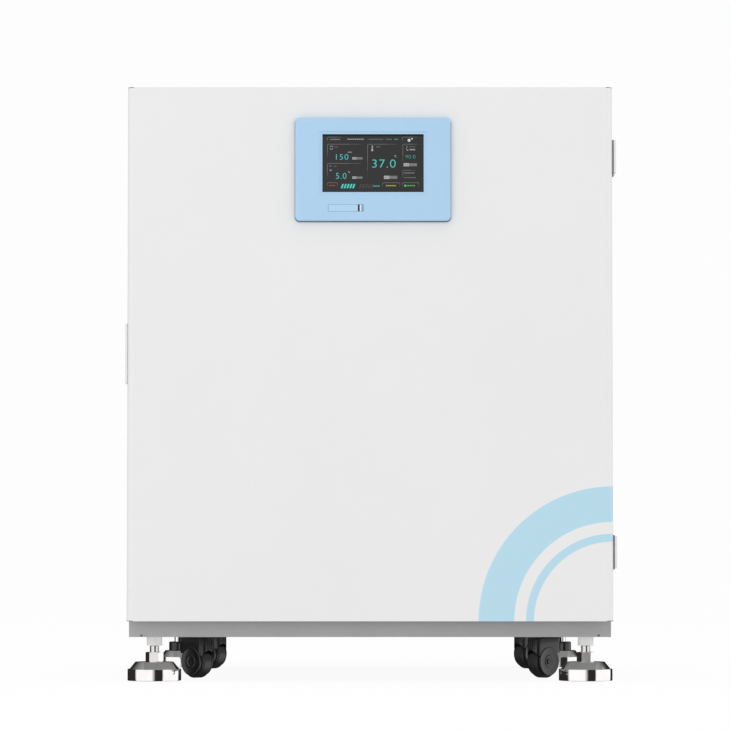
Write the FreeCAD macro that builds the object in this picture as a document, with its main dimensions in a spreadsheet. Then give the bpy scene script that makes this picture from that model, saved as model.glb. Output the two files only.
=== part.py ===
import FreeCAD, Part
import math
import os
import re
import Sketcher

# Floor-standing incubator shaker. Millimetres, +X right, +Y to the back, +Z up.
# The origin is on the floor, under the middle of the whole object.

# Independent sizes, each written once
SIZES = {
    # cabinet
    "cabinet_width": 740,
    "body_depth": 770,
    "foot_rise": 68,
    "plinth_height": 25,
    "case_drop": 2,
    "panel_wall": 1.5,
    "case_round": 3,
    "case_flange": 12,
    "plinth_rail": 80,
    "plinth_wall": 2,
    "floor_plate_wall": 2,
    "frame_thickness": 3,
    "rear_reach": 24,
    "running_gap": 0.05,
    "clear_gap": 0.3,
    "cut_over": 1,
    # door
    "door_height": 815,
    "door_thickness": 40,
    "door_gap": 12,
    "door_wall": 1.2,
    "door_round": 9,
    "door_cap_height": 1,
    "door_cap_depth": 9.6,
    "gasket_width": 14,
    "gasket_margin": 14,
    # grip on the left edge of the door
    "grip_length": 91,
    "grip_depth": 30,
    "grip_reach": 22,
    "grip_wall": 2,
    "grip_proud": 3,
    "grip_lip": 9,
    "grip_front_inset": 4,
    "grip_share": 0.5,
    # control panel
    "bezel_width": 237,
    "bezel_height": 158,
    "bezel_proud": 9.5,
    "bezel_offset": 4.5,
    "bezel_drop": 126.6,
    "bezel_round": 7,
    "bezel_edge_round": 2.5,
    "screen_width": 154.4,
    "screen_height": 88.6,
    "screen_rise": 8.9,
    "screen_shift": 0.2,
    "screen_glass": 1.8,
    "screen_rim": 4,
    "screen_recess": 0.8,
    "module_border": 5,
    "module_depth": 18,
    "usb_length": 54,
    "usb_height": 11,
    "usb_left": 50.2,
    "usb_low": 13.8,
    "usb_recess": 2.5,
    "usb_cover_wall": 2,
    "usb_pin_radius": 0.6,
    "usb_notch": 2.7,
    "usb_notch_inset": 5.8,
    "usb_notch_depth": 1,
    "socket_width": 14,
    "socket_height": 6.5,
    "socket_wall": 0.6,
    "socket_depth": 16,
    "socket_tongue": 1.6,
    # door hinges
    "hinge_inset": 105,
    "hinge_height": 50,
    "hinge_barrel_radius": 5.5,
    "hinge_reach": 6.5,
    "hinge_pin_radius": 3,
    "hinge_leaf_wall": 3,
    "hinge_leaf_depth": 32,
    "hinge_cover_setback": 8,
    "hinge_knuckle": 14,
    "hinge_knuckle_gap": 0.5,
    # chamber
    "side_insulation": 57.3,
    "roof_depth": 58,
    "service_depth": 180,
    "chamber_floor": 268,
    "liner_wall": 1.2,
    "rear_insulation": 50,
    "baffle_setback": 42,
    "baffle_wall": 1.5,
    "baffle_side_gap": 25,
    "baffle_low_gap": 60,
    "baffle_slot_height": 6,
    # drive
    "tray_front_gap": 55,
    "tray_back_gap": 33,
    "tray_side_gap": 60,
    "platform_wall": 6,
    "platform_round": 10,
    "skirt_height": 16,
    "skirt_wall": 3,
    "clamp_side_margin": 40,
    "clamp_end_margin": 50,
    "clamp_hole_radius": 2.6,
    "orbit_radius": 12.5,
    "drive_plate_wall": 8,
    "drive_side_gap": 48.5,
    "drive_plate_margin": 32.5,
    "drive_plate_drop": 40,
    "drive_leg": 30,
    "main_shaft_radius": 15,
    "main_flange_radius": 55,
    "main_neck_radius": 32,
    "idler_shaft_radius": 10,
    "idler_flange_radius": 38,
    "idler_neck_radius": 24,
    "idler_share": 0.65,
    "flange_wall": 8,
    "housing_rise": 30,
    "web_height": 10,
    "web_margin": 8,
    "pin_length": 20,
    "main_pin_radius": 10,
    "idler_pin_radius": 8,
    "open_pivot_gap": 0.35,
    "carriage_wall": 8,
    "carriage_boss_height": 22,
    "carriage_boss_wall": 10,
    "carriage_margin": 26,
    "pulley_radius": 80,
    "pulley_height": 20,
    "pulley_drop": 30,
    "pulley_rim": 2,
    "motor_pulley_radius": 30,
    "motor_spread": 200,
    "motor_radius": 70,
    "motor_height": 58,
    "motor_flange": 6,
    "motor_shaft_radius": 7,
    "belt_wall": 4,
    "counterweight_radius": 92,
    "counterweight_height": 24,
    # fan and air path
    "fan_drop": 180,
    "fan_radius": 90,
    "fan_hub_radius": 16,
    "fan_plate_wall": 2,
    "fan_blade_height": 22,
    "fan_blade_wall": 1.5,
    "fan_shaft_radius": 4,
    "fan_motor_radius": 42,
    "fan_inlet_radius": 70,
    "fan_clearance": 6,
    "heater_ring_radius": 108,
    "heater_wire_radius": 4,
    "probe_radius": 4,
    "probe_length": 55,
    "probe_collar_radius": 9,
    "probe_collar": 6,
    "probe_offset": 150,
    "probe_drop": 60,
    # humidity pan
    "pan_width": 260,
    "pan_depth": 70,
    "pan_height": 24,
    "pan_wall": 1.2,
    "pan_setback": 22,
    # service space
    "control_width": 240,
    "control_height": 260,
    "control_depth": 60,
    "control_wall": 1.2,
    "board_wall": 1.6,
    "board_margin": 12,
    "board_standoff": 8,
    "control_drop": 188,
    "chip_height": 9,
    "chip_width": 34,
    "gas_barb_radius": 4,
    "gas_barb_length": 16,
    "gas_flange_radius": 11,
    "gas_flange_wall": 6,
    "gas_offset": 230,
    "gas_drop": 148,
    "gas_valve_size": 36,
    "gas_tube_radius": 4,
    "power_width": 50,
    "power_height": 72,
    "power_flange_wall": 3,
    "power_flange_lip": 5,
    "power_depth": 34,
    "power_offset": 250,
    "power_rise": 170,
    "inlet_width": 28,
    "inlet_height": 20,
    "inlet_depth": 20,
    "inlet_pin_width": 2,
    "inlet_pin_height": 6,
    "inlet_pin_pitch": 8,
    "rocker_width": 18,
    "rocker_height": 24,
    "rocker_depth": 8,
    "rocker_proud": 2.5,
    "rocker_pin_radius": 2,
    "screw_head_radius": 4,
    "screw_head_height": 2,
    "screw_shank_radius": 2,
    "screw_inset": 14,
    "louvre_height": 5,
    "louvre_length": 160,
    "louvre_pitch": 14,
    "louvre_rise": 130,
    # levelling feet
    "foot_inset": 36,
    "foot_setback": 45,
    "drum_radius": 41.5,
    "drum_height": 18,
    "drum_edge": 1.2,
    "cone_base_radius": 38,
    "cone_top_radius": 29.5,
    "cone_height": 11,
    "nut_flats": 24,
    "nut_height": 15,
    "thread_radius": 7.5,
    "thread_reach": 34,
    "sleeve_radius": 12,
    "sleeve_height": 14,
    # casters
    "caster_inset": 65.5,
    "caster_setback": 160,
    "caster_stem_radius": 6,
    "caster_stem_above": 8,
    "caster_trail": 44,
    "caster_rest_angle": 44,
    "wheel_radius": 26,
    "wheel_width": 19,
    "wheel_edge": 3,
    "wheel_clearance": 1.2,
    "axle_radius": 4,
    "hood_width": 26,
    "hood_side_gap": 1,
    "hood_top_gap": 1.5,
    "hood_well_gap": 2,
    "hood_reach": 27.5,
    "hood_heel": 30,
    "hood_skirt": 12.5,
    "hood_round": 6,
    "hood_cheek_radius": 19,
    "head_low": 43,
    "head_height": 14.5,
    "head_radius": 14.5,
}

# Places and lengths that follow from the sizes above, as formulas
PLACES = {
    "half_width": "cabinet_width / 2",
    "front_reach": "bezel_proud + door_thickness + door_gap",
    "body_front": "(front_reach - body_depth - rear_reach) / 2",
    "body_back": "body_front + body_depth",
    "door_back": "body_front - door_gap",
    "door_front": "door_back - door_thickness",
    "plinth_top": "foot_rise + plinth_height",
    "door_top": "plinth_top + door_height",
    "case_top": "door_top - case_drop",
    "shell_inner": "half_width - panel_wall",
    "deck_top": "plinth_top + floor_plate_wall",
    "liner_half": "shell_inner - side_insulation",
    "chamber_half": "liner_half - liner_wall",
    "chamber_top": "case_top - roof_depth",
    "chamber_height": "chamber_top - chamber_floor",
    "chamber_front": "body_front + frame_thickness",
    "chamber_back": "body_back - service_depth",
    "liner_under": "chamber_floor - liner_wall",
    "liner_over": "chamber_top + liner_wall",
    "liner_back": "chamber_back + liner_wall",
    "service_front": "liner_back + rear_insulation",
    "panel_inner_back": "body_back - panel_wall",
    "drive_plate_top": "liner_under - drive_plate_drop",
    "drive_plate_under": "drive_plate_top - drive_plate_wall",
    "baffle_front": "chamber_back - baffle_setback",
    "baffle_back": "baffle_front + baffle_wall",
    "tray_front": "body_front + tray_front_gap",
    "tray_back": "baffle_front - tray_back_gap",
    "platform_middle": "(tray_front + tray_back) / 2",
    "tray_half_depth": "(tray_back - tray_front) / 2",
    "tray_half_width": "chamber_half - tray_side_gap",
    "idler_spread": "tray_half_depth * idler_share",
    "drive_half_width": "shell_inner - drive_side_gap",
    "drive_half_depth": "idler_spread + idler_flange_radius + drive_plate_margin",
    "housing_top": "chamber_floor + housing_rise",
    "web_low": "housing_top + clear_gap",
    "web_top": "web_low + web_height",
    "boss_low": "web_top + clear_gap",
    "carriage_low": "boss_low + carriage_boss_height",
    "carriage_top": "carriage_low + carriage_wall",
    "platform_top": "carriage_top + platform_wall",
    "idler_offset": "idler_spread * cos(30 deg)",
    "pulley_top": "drive_plate_under - pulley_drop",
    "pulley_low": "pulley_top - pulley_height",
    "motor_top": "deck_top + motor_height",
    "weight_low": "pulley_low - counterweight_height",
    "bezel_back": "door_front",
    "bezel_front": "door_front - bezel_proud",
    "bezel_left": "bezel_offset - bezel_width / 2",
    "bezel_right": "bezel_offset + bezel_width / 2",
    "bezel_middle": "door_top - bezel_drop",
    "bezel_low": "bezel_middle - bezel_height / 2",
    "bezel_high": "bezel_middle + bezel_height / 2",
    "screen_middle_x": "bezel_offset + screen_shift",
    "screen_middle_z": "bezel_middle + screen_rise",
    "screen_front": "bezel_front + screen_recess",
    "usb_start": "bezel_left + usb_left",
    "usb_under": "bezel_low + usb_low",
    "usb_over": "usb_under + usb_height",
    "hinge_axis_x": "half_width + hinge_reach - hinge_barrel_radius",
    "hinge_axis_y": "body_front - door_gap / 2",
    "fan_middle_z": "chamber_top - fan_drop",
    "control_middle_z": "fan_middle_z - control_drop",
    "gas_z": "chamber_top - gas_drop",
    "fan_plate_back": "chamber_back - fan_clearance",
    "fan_plate_front": "fan_plate_back - fan_plate_wall",
    "axle_z": "wheel_radius + wheel_clearance",
    "head_top": "head_low + head_height",
    "hood_top": "foot_rise - hood_top_gap",
    "well_radius": "wheel_radius + hood_well_gap",
    "well_width": "wheel_width + 2 * hood_side_gap",
    "foot_x": "half_width - foot_inset",
    "caster_x": "half_width - caster_inset",
    "nut_low": "drum_height + cone_height",
    "nut_corner": "nut_flats / sqrt(3)",
}

# Shares and counts
CLAMP_COLUMNS = 8
CLAMP_ROWS = 7
FAN_BLADES = 14
LOUVRES = 8
BAFFLE_SLOTS = 10
INLET_SLOTS = 9
REAR_SCREWS_PER_SIDE = 4
IDLER_ANGLES = (90, 210, 330)
NUT_SIDES = 6
FULL_TURN = 360
QUARTER_TURN = 90

WORDS = re.compile(r"[a-z][a-z0-9_]*")
AXES = "xyz"
UP = FreeCAD.Rotation()
BACKWARD = FreeCAD.Rotation(FreeCAD.Vector(1, 0, 0), -QUARTER_TURN)
FORWARD = FreeCAD.Rotation(FreeCAD.Vector(1, 0, 0), QUARTER_TURN)
RIGHTWARD = FreeCAD.Rotation(FreeCAD.Vector(0, 1, 0), QUARTER_TURN)

doc = FreeCAD.newDocument("IncubatorShaker")
nodes = []


def make_sheet():
    """The spreadsheet: plain numbers first, then the formulas that use them."""
    table = doc.addObject("Spreadsheet::Sheet", "Sizes")
    cells = [(alias, str(value)) for alias, value in SIZES.items()]
    cells += [(alias, "=" + formula) for alias, formula in PLACES.items()]
    for row, (alias, text) in enumerate(cells, start=1):
        table.set(f"A{row}", alias)
        table.set(f"B{row}", text)
        table.setAlias(f"B{row}", alias)
    doc.recompute()
    return table


sheet = make_sheet()
VALUES = {alias: float(sheet.get(alias)) for alias in [*SIZES, *PLACES]}


def value(formula):
    """The number that a formula of sheet names gives."""
    return float(sheet.evalExpression(from_sheet(formula)))


def from_sheet(formula):
    """A formula with each sheet name written as the sheet's own."""
    return WORDS.sub(
        lambda word: "Sizes." + word.group() if word.group() in VALUES else word.group(), formula,
    )


def bind(piece, prop, formula):
    """Tie one property of a piece to the sheet."""
    piece.setExpression(prop, from_sheet(formula))


def place(piece, at, turn=UP):
    """Turn a piece, then tie its base point to the sheet."""
    piece.Placement = FreeCAD.Placement(FreeCAD.Vector(), turn)
    for axis, formula in zip(AXES, at):
        bind(piece, f"Placement.Base.{axis}", formula)
    return piece


def box(name, low, high):
    """A block between two corners."""
    piece = doc.addObject("Part::Box", name)
    for prop, start, end in zip(("Length", "Width", "Height"), low, high):
        bind(piece, prop, f"({end}) - ({start})")
    return place(piece, low)


def rod(name, at, radius, length, turn=UP):
    """A round bar from a point, along +Z or the turned +Z."""
    piece = doc.addObject("Part::Cylinder", name)
    bind(piece, "Radius", radius)
    bind(piece, "Height", length)
    return place(piece, at, turn)


def fuse(name, *parts):
    """Several touching or crossing shapes as one solid."""
    piece = doc.addObject("Part::MultiFuse", name)
    piece.Shapes = list(parts)
    return piece


def cut(name, base, *tools):
    """A shape without the tools."""
    piece = doc.addObject("Part::Cut", name)
    piece.Base = base
    piece.Tool = tools[0] if len(tools) == 1 else fuse(name + "_tools", *tools)
    return piece


def group(name, *parts):
    """Separate solids that share one node."""
    piece = doc.addObject("Part::Compound", name)
    piece.Links = list(parts)
    return piece


def node(piece, label=None):
    """Enter a finished sub-part under the name of its file."""
    piece.Label = label or piece.Label
    nodes.append(piece)
    return piece


def base_plane(body, role):
    """One of a body's own origin planes."""
    return next(plane for plane in body.Origin.OriginFeatures if plane.Role == role)


def outline(body, name, role, points):
    """A closed sketch of straight lines whose corners are tied to the sheet."""
    sketch = body.newObject("Sketcher::SketchObject", name)
    sketch.AttachmentSupport = [(base_plane(body, role), "")]
    sketch.MapMode = "FlatFace"
    corners = [FreeCAD.Vector(value(u), value(v), 0) for u, v in points]
    for index, corner in enumerate(corners):
        sketch.addGeometry(Part.LineSegment(corner, corners[(index + 1) % len(corners)]), False)
    for index in range(len(corners)):
        sketch.addConstraint(Sketcher.Constraint("Coincident", index, 2, (index + 1) % len(corners), 1))
    for index, formulas in enumerate(points):
        for kind, formula in zip(("DistanceX", "DistanceY"), formulas):
            number = sketch.addConstraint(Sketcher.Constraint(kind, -1, 1, index, 1, value(formula)))
            bind(sketch, f"Constraints[{number}]", formula)
    return sketch


def turned(name, points, at=("0", "0", "0"), turn=UP):
    """A lathe-turned body from its half outline of radius and height pairs."""
    body = doc.addObject("PartDesign::Body", name)
    sketch = outline(body, name + "_outline", "XZ_Plane", points)
    spin = body.newObject("PartDesign::Revolution", name + "_spin")
    spin.Profile = sketch
    spin.ReferenceAxis = (sketch, ["V_Axis"])
    spin.Angle = FULL_TURN
    return place(body, at, turn)


def edges_where(shape, test):
    """The names of the edges whose two ends pass a test."""
    found = []
    for index, edge in enumerate(shape.Edges, start=1):
        ends = [vertex.Point for vertex in edge.Vertexes]
        if len(ends) == 2 and test(*ends):
            found.append(f"Edge{index}")
    return found


def along(axis):
    """A test for edges that run along one axis."""
    others = [name for name in AXES if name != axis]
    return lambda a, b: all(abs(getattr(a, name) - getattr(b, name)) < 1e-6 for name in others)


def slab(name, low, high, rounds=()):
    """A padded block with rounded edges; rounds lists a radius and an edge test for each fillet."""
    body = doc.addObject("PartDesign::Body", name)
    length, width = (f"({high[i]}) - ({low[i]})" for i in (0, 1))
    corners = [("0", "0"), (length, "0"), (length, width), ("0", width)]
    pad = body.newObject("PartDesign::Pad", name + "_pad")
    pad.Profile = outline(body, name + "_outline", "XY_Plane", corners)
    bind(pad, "Length", f"({high[2]}) - ({low[2]})")
    feature = pad
    for index, (radius, test) in enumerate(rounds):
        doc.recompute()
        fillet = body.newObject("PartDesign::Fillet", f"{name}_round_{index}")
        fillet.Base = (feature, edges_where(feature.Shape, test))
        bind(fillet, "Radius", radius)
        body.Tip = fillet
        feature = fillet
    return place(body, low)


def ring(name, at, outer, inner, length, turn=UP):
    """A plain bush."""
    return turned(name, [(inner, "0"), (outer, "0"), (outer, length), (inner, length)], at, turn)


def sides():
    """The names and signs of the left and right sides."""
    return (("left", "-"), ("right", "+"))


def ends():
    """The front and back rows of feet and casters: a name and a setback formula maker."""
    return (("front", "body_front + {0}"), ("back", "body_back - {0}"))


def make_plinth():
    """Welded base frame of four tubes and a floor plate, with holes for feet and casters."""
    rails = []
    spans = {
        "front": (("-half_width", "body_front"), ("half_width", "body_front + plinth_rail")),
        "back": (("-half_width", "body_back - plinth_rail"), ("half_width", "body_back")),
        "left": (
            ("-half_width", "body_front + plinth_rail"),
            ("-half_width + plinth_rail", "body_back - plinth_rail"),
        ),
        "right": (
            ("half_width - plinth_rail", "body_front + plinth_rail"),
            ("half_width", "body_back - plinth_rail"),
        ),
    }
    for name, (low, high) in spans.items():
        crosswise = name in ("front", "back")
        outer = slab(f"plinth_{name}_tube", (*low, "foot_rise"), (*high, "plinth_top"))
        hollow = box(
            f"plinth_{name}_hollow",
            (f"{low[0]} + plinth_wall", f"{low[1]} + plinth_wall", "foot_rise + plinth_wall"),
            (f"{high[0]} - plinth_wall", f"{high[1]} - plinth_wall", "plinth_top - plinth_wall"),
        )
        tools = [hollow]
        if crosswise:
            setback = "body_front + foot_setback" if name == "front" else "body_back - foot_setback"
            for side, sign in sides():
                at = (f"{sign}foot_x", setback, "foot_rise - cut_over")
                tools.append(
                    rod(
                        f"plinth_{name}_{side}_bore",
                        at,
                        "sleeve_radius - plinth_wall",
                        "plinth_wall + 2 * cut_over",
                    )
                )
        else:
            sign = "-" if name == "left" else "+"
            for end, row in ends():
                at = (f"{sign}caster_x", row.format("caster_setback"), "foot_rise - cut_over")
                tools.append(
                    rod(f"plinth_{name}_{end}_bore", at, "caster_stem_radius", "plinth_wall + 2 * cut_over")
                )
        rails.append(cut(f"plinth_{name}", outer, *tools))
    plate_low = ("-shell_inner", "body_front + frame_thickness", "plinth_top")
    rails.append(box("floor_plate", plate_low, ("shell_inner", "panel_inner_back", "deck_top")))
    node(group("base_plinth", *rails))


def make_case():
    """Outer sheet-metal panels and the stainless front frame."""
    panels = []
    for side, _ in sides():
        inner, outer = ("-half_width", "-shell_inner") if side == "left" else ("shell_inner", "half_width")
        panels.append(
            box(
                f"case_{side}",
                (inner, "body_front", "plinth_top"),
                (outer, "body_back", "case_top - case_flange"),
            )
        )
    node(group("side_panels", *panels))
    lid_edges = (("case_round", lambda a, b: along("y")(a, b) and a.z > 0),)
    lid = slab(
        "top_panel_sheet",
        ("-half_width", "body_front", "case_top - case_flange"),
        ("half_width", "body_back", "case_top"),
        lid_edges,
    )
    hollow = box(
        "top_panel_hollow",
        ("-shell_inner", "body_front - cut_over", "case_top - case_flange - cut_over"),
        ("shell_inner", "body_back + cut_over", "case_top - panel_wall"),
    )
    node(cut("top_panel", lid, hollow))
    edge = "body_front + frame_thickness"
    bars = [
        box(
            "frame_left",
            ("-shell_inner", "body_front", "plinth_top"),
            ("-chamber_half", edge, "case_top - panel_wall"),
        ),
        box(
            "frame_right",
            ("chamber_half", "body_front", "plinth_top"),
            ("shell_inner", edge, "case_top - panel_wall"),
        ),
        box(
            "frame_sill",
            ("-chamber_half", "body_front", "plinth_top"),
            ("chamber_half", edge, "chamber_floor"),
        ),
        box(
            "frame_head",
            ("-chamber_half", "body_front", "chamber_top"),
            ("chamber_half", edge, "case_top - panel_wall"),
        ),
    ]
    node(group("front_frame", *bars))


def screw_places():
    """Heights of the screws down each side of the rear panel."""
    span = f"(case_top - plinth_top - 2 * screw_inset) / {REAR_SCREWS_PER_SIDE - 1}"
    return [f"plinth_top + screw_inset + {index} * {span}" for index in range(REAR_SCREWS_PER_SIDE)]


def make_rear_panel():
    """Back panel with louvres, and the openings for gas, power and screws."""
    sheet_metal = box(
        "rear_sheet",
        ("-shell_inner", "panel_inner_back", "plinth_top"),
        ("shell_inner", "body_back", "case_top - panel_wall"),
    )
    thick = "panel_wall + 2 * cut_over"
    start = "panel_inner_back - cut_over"
    tools = []
    for index in range(LOUVRES):
        low = f"louvre_rise + {index} * louvre_pitch + plinth_top"
        tools.append(
            box(
                f"louvre_{index}",
                ("-louvre_length / 2", start, low),
                ("louvre_length / 2", "body_back + cut_over", f"{low} + louvre_height"),
            )
        )
    screws = []
    for side, sign in sides():
        for index, height in enumerate(screw_places()):
            across = f"{sign}(shell_inner - screw_inset)"
            tools.append(
                rod(
                    f"rear_hole_{side}_{index}",
                    (across, start, height),
                    "screw_shank_radius",
                    thick,
                    BACKWARD,
                )
            )
            shank = rod(
                f"rear_shank_{side}_{index}", (across, "panel_inner_back", height), "screw_shank_radius",
                "panel_wall", BACKWARD,
            )
            head = rod(
                f"rear_head_{side}_{index}", (across, "body_back", height), "screw_head_radius",
                "screw_head_height", BACKWARD,
            )
            screws.append(fuse(f"rear_screw_{side}_{index}", shank, head))
    tools.append(rod("rear_gas_hole", ("gas_offset", start, "gas_z"), "gas_barb_radius", thick, BACKWARD))
    tools.append(
        box(
            "rear_power_hole",
            ("-power_offset - power_width / 2", start, "power_rise - power_height / 2"),
            ("-power_offset + power_width / 2", "body_back + cut_over", "power_rise + power_height / 2"),
        )
    )
    node(cut("rear_panel", sheet_metal, *tools))
    node(group("panel_screws", *screws))


def make_chamber():
    """Stainless liner of five sheets and the insulation round it."""
    low = ("-liner_half", "chamber_front", "liner_under")
    holes = []
    for place_name, x_at, y_at, radius in housing_places():
        holes.append(
            rod(
                f"liner_bore_{place_name}",
                (x_at, y_at, "liner_under - cut_over"),
                f"{radius} + clear_gap",
                "liner_wall + 2 * cut_over",
            )
        )
    floor = box("liner_floor_sheet", low, ("liner_half", "liner_back", "chamber_floor"))
    back = box(
        "liner_back_sheet", (
            "-liner_half", "chamber_back", "chamber_floor",
        ), ("liner_half", "liner_back", "chamber_top")
    )
    through = "liner_wall + 2 * cut_over"
    fan_hole = rod(
        "liner_fan_hole",
        ("0", "chamber_back - cut_over", "fan_middle_z"),
        "fan_shaft_radius + clear_gap",
        through,
        BACKWARD,
    )
    gas_hole = rod(
        "liner_gas_hole",
        ("gas_offset", "chamber_back - cut_over", "gas_z"),
        "gas_tube_radius",
        through,
        BACKWARD,
    )
    sheets = [
        cut("liner_floor", floor, *holes),
        box(
            "liner_roof",
            ("-liner_half", "chamber_front", "chamber_top"),
            ("liner_half", "liner_back", "liner_over"),
        ),
        box(
            "liner_left",
            ("-liner_half", "chamber_front", "chamber_floor"),
            ("-chamber_half", "chamber_back", "chamber_top"),
        ),
        box(
            "liner_right",
            ("chamber_half", "chamber_front", "chamber_floor"),
            ("liner_half", "chamber_back", "chamber_top"),
        ),
        cut("liner_rear", back, fan_hole, gas_hole),
    ]
    node(group("chamber_liner", *sheets))
    wells = []
    for place_name, x_at, y_at, radius in housing_places():
        flange = "main_flange_radius" if place_name == "main" else "idler_flange_radius"
        wells.append(
            rod(
                f"slab_bore_{place_name}",
                (x_at, y_at, "drive_plate_top - cut_over"),
                f"{flange} + clear_gap",
                "drive_plate_drop + 2 * cut_over",
            )
        )
    floor_slab = box(
        "slab_floor_block",
        ("-liner_half", "chamber_front", "drive_plate_top"),
        ("liner_half", "liner_back", "liner_under"),
    )
    rear_slab = box(
        "slab_rear_block",
        ("-liner_half", "liner_back", "drive_plate_top"),
        ("liner_half", "service_front", "liner_over"),
    )
    motor_well = rod(
        "slab_motor_bore", ("0", "liner_back - cut_over", "fan_middle_z"), "fan_motor_radius + clear_gap",
        "rear_insulation + 2 * cut_over", BACKWARD,
    )
    gas_well = rod(
        "slab_gas_bore", ("gas_offset", "liner_back - cut_over", "gas_z"), "gas_tube_radius + clear_gap",
        "rear_insulation + 2 * cut_over", BACKWARD,
    )
    slabs = [
        cut("slab_floor", floor_slab, *wells),
        cut("slab_rear", rear_slab, motor_well, gas_well),
        box(
            "slab_left",
            ("-shell_inner", "chamber_front", "drive_plate_top"),
            ("-liner_half", "service_front", "liner_over"),
        ),
        box(
            "slab_right",
            ("liner_half", "chamber_front", "drive_plate_top"),
            ("shell_inner", "service_front", "liner_over"),
        ),
        box(
            "slab_roof",
            ("-shell_inner", "chamber_front", "liner_over"),
            ("shell_inner", "service_front", "case_top - panel_wall"),
        ),
    ]
    node(group("insulation_slabs", *slabs))


def housing_places():
    """Main and idler bearing places: name, x, y and neck radius."""
    spots = [("main", "0", "platform_middle", "main_neck_radius")]
    for index, angle in enumerate(IDLER_ANGLES, start=1):
        across = f"idler_spread * cos({angle} deg)"
        back = f"platform_middle + idler_spread * sin({angle} deg)"
        spots.append((f"idler_{index}", across, back, "idler_neck_radius"))
    return spots


def make_drive_frame():
    """Steel drive plate on four tube legs, and the bearing housings that stand on it."""
    plate_low = ("-drive_half_width", "platform_middle - drive_half_depth", "drive_plate_under")
    plate_high = ("drive_half_width", "platform_middle + drive_half_depth", "drive_plate_top")
    plate = box("drive_plate_block", plate_low, plate_high)
    bore = rod(
        "drive_plate_bore", (
            "0", "platform_middle", "drive_plate_under - cut_over",
        ), "main_shaft_radius + clear_gap",
        "drive_plate_wall + 2 * cut_over",
    )
    parts = [cut("drive_plate", plate, bore)]
    for side, _ in sides():
        for end in ("front", "back"):
            x_low = plate_low[0] if side == "left" else f"{plate_high[0]} - drive_leg"
            y_low = plate_low[1] if end == "front" else f"{plate_high[1]} - drive_leg"
            parts.append(
                box(
                    f"drive_leg_{side}_{end}",
                    (x_low, y_low, "deck_top"),
                    (f"{x_low} + drive_leg", f"{y_low} + drive_leg", "drive_plate_under"),
                )
            )
    node(group("drive_frame", *parts))
    housings = []
    for place_name, x_at, y_at, neck in housing_places():
        main = place_name == "main"
        flange = "main_flange_radius" if main else "idler_flange_radius"
        shaft = "main_shaft_radius" if main else "idler_shaft_radius"
        profile = [
            (f"{shaft} + running_gap", "0"),
            (flange, "0"),
            (flange, "flange_wall"),
            (neck, "flange_wall"),
            (neck, "housing_top - drive_plate_top"),
            (f"{shaft} + running_gap", "housing_top - drive_plate_top"),
        ]
        housings.append(turned(f"housing_{place_name}", profile, (x_at, y_at, "drive_plate_top")))
    node(group("bearing_housings", *housings))


def make_cranks():
    """Main crank with its pulley and counterweight, and the three idler cranks."""
    shaft = rod(
        "crank_journal", ("0", "platform_middle", "weight_low"), "main_shaft_radius", "web_low - weight_low",
    )
    web = rod(
        "crank_web", ("orbit_radius / 2", "platform_middle", "web_low"),
        "orbit_radius / 2 + main_shaft_radius + web_margin", "web_height",
    )
    pin = rod("crank_pin", ("orbit_radius", "platform_middle", "web_top"), "main_pin_radius", "pin_length")
    node(fuse("crank_shaft", shaft, web, pin))
    groove = "pulley_radius - belt_wall"
    profile = [
        ("main_shaft_radius", "0"),
        ("pulley_radius", "0"),
        ("pulley_radius", "pulley_rim"),
        (groove, "pulley_rim"),
        (groove, "pulley_height - pulley_rim"),
        ("pulley_radius", "pulley_height - pulley_rim"),
        ("pulley_radius", "pulley_height"),
        ("main_shaft_radius", "pulley_height"),
    ]
    node(turned("crank_pulley", profile, ("0", "platform_middle", "pulley_low")))
    disc = ring(
        "weight_disc", ("0", "platform_middle", "weight_low"), "counterweight_radius", "main_shaft_radius",
        "counterweight_height",
    )
    away = box(
        "weight_trim",
        (
            "main_shaft_radius + web_margin",
            "platform_middle - counterweight_radius - cut_over",
            "weight_low - cut_over",
        ),
        (
            "counterweight_radius + cut_over",
            "platform_middle + counterweight_radius + cut_over",
            "pulley_low + cut_over",
        ),
    )
    node(cut("counterweight", disc, away))
    for place_name, x_at, y_at, _ in housing_places()[1:]:
        journal = rod(
            f"{place_name}_journal",
            (x_at, y_at, "drive_plate_top + clear_gap"),
            "idler_shaft_radius",
            "web_low - drive_plate_top - clear_gap",
        )
        web = rod(
            f"{place_name}_web", (f"{x_at} + orbit_radius / 2", y_at, "web_low"),
            "orbit_radius / 2 + idler_shaft_radius + web_margin", "web_height",
        )
        pin = rod(
            f"{place_name}_pin",
            (f"{x_at} + orbit_radius", y_at, "web_top"),
            "idler_pin_radius",
            "pin_length",
        )
        node(fuse(f"{place_name}_crank", journal, web, pin))


def spaced(index, count):
    """Where one of several evenly spread pieces stands, from -1 for the first to +1 for the last."""
    return f"({2 * index - (count - 1)} / {count - 1})"


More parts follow.
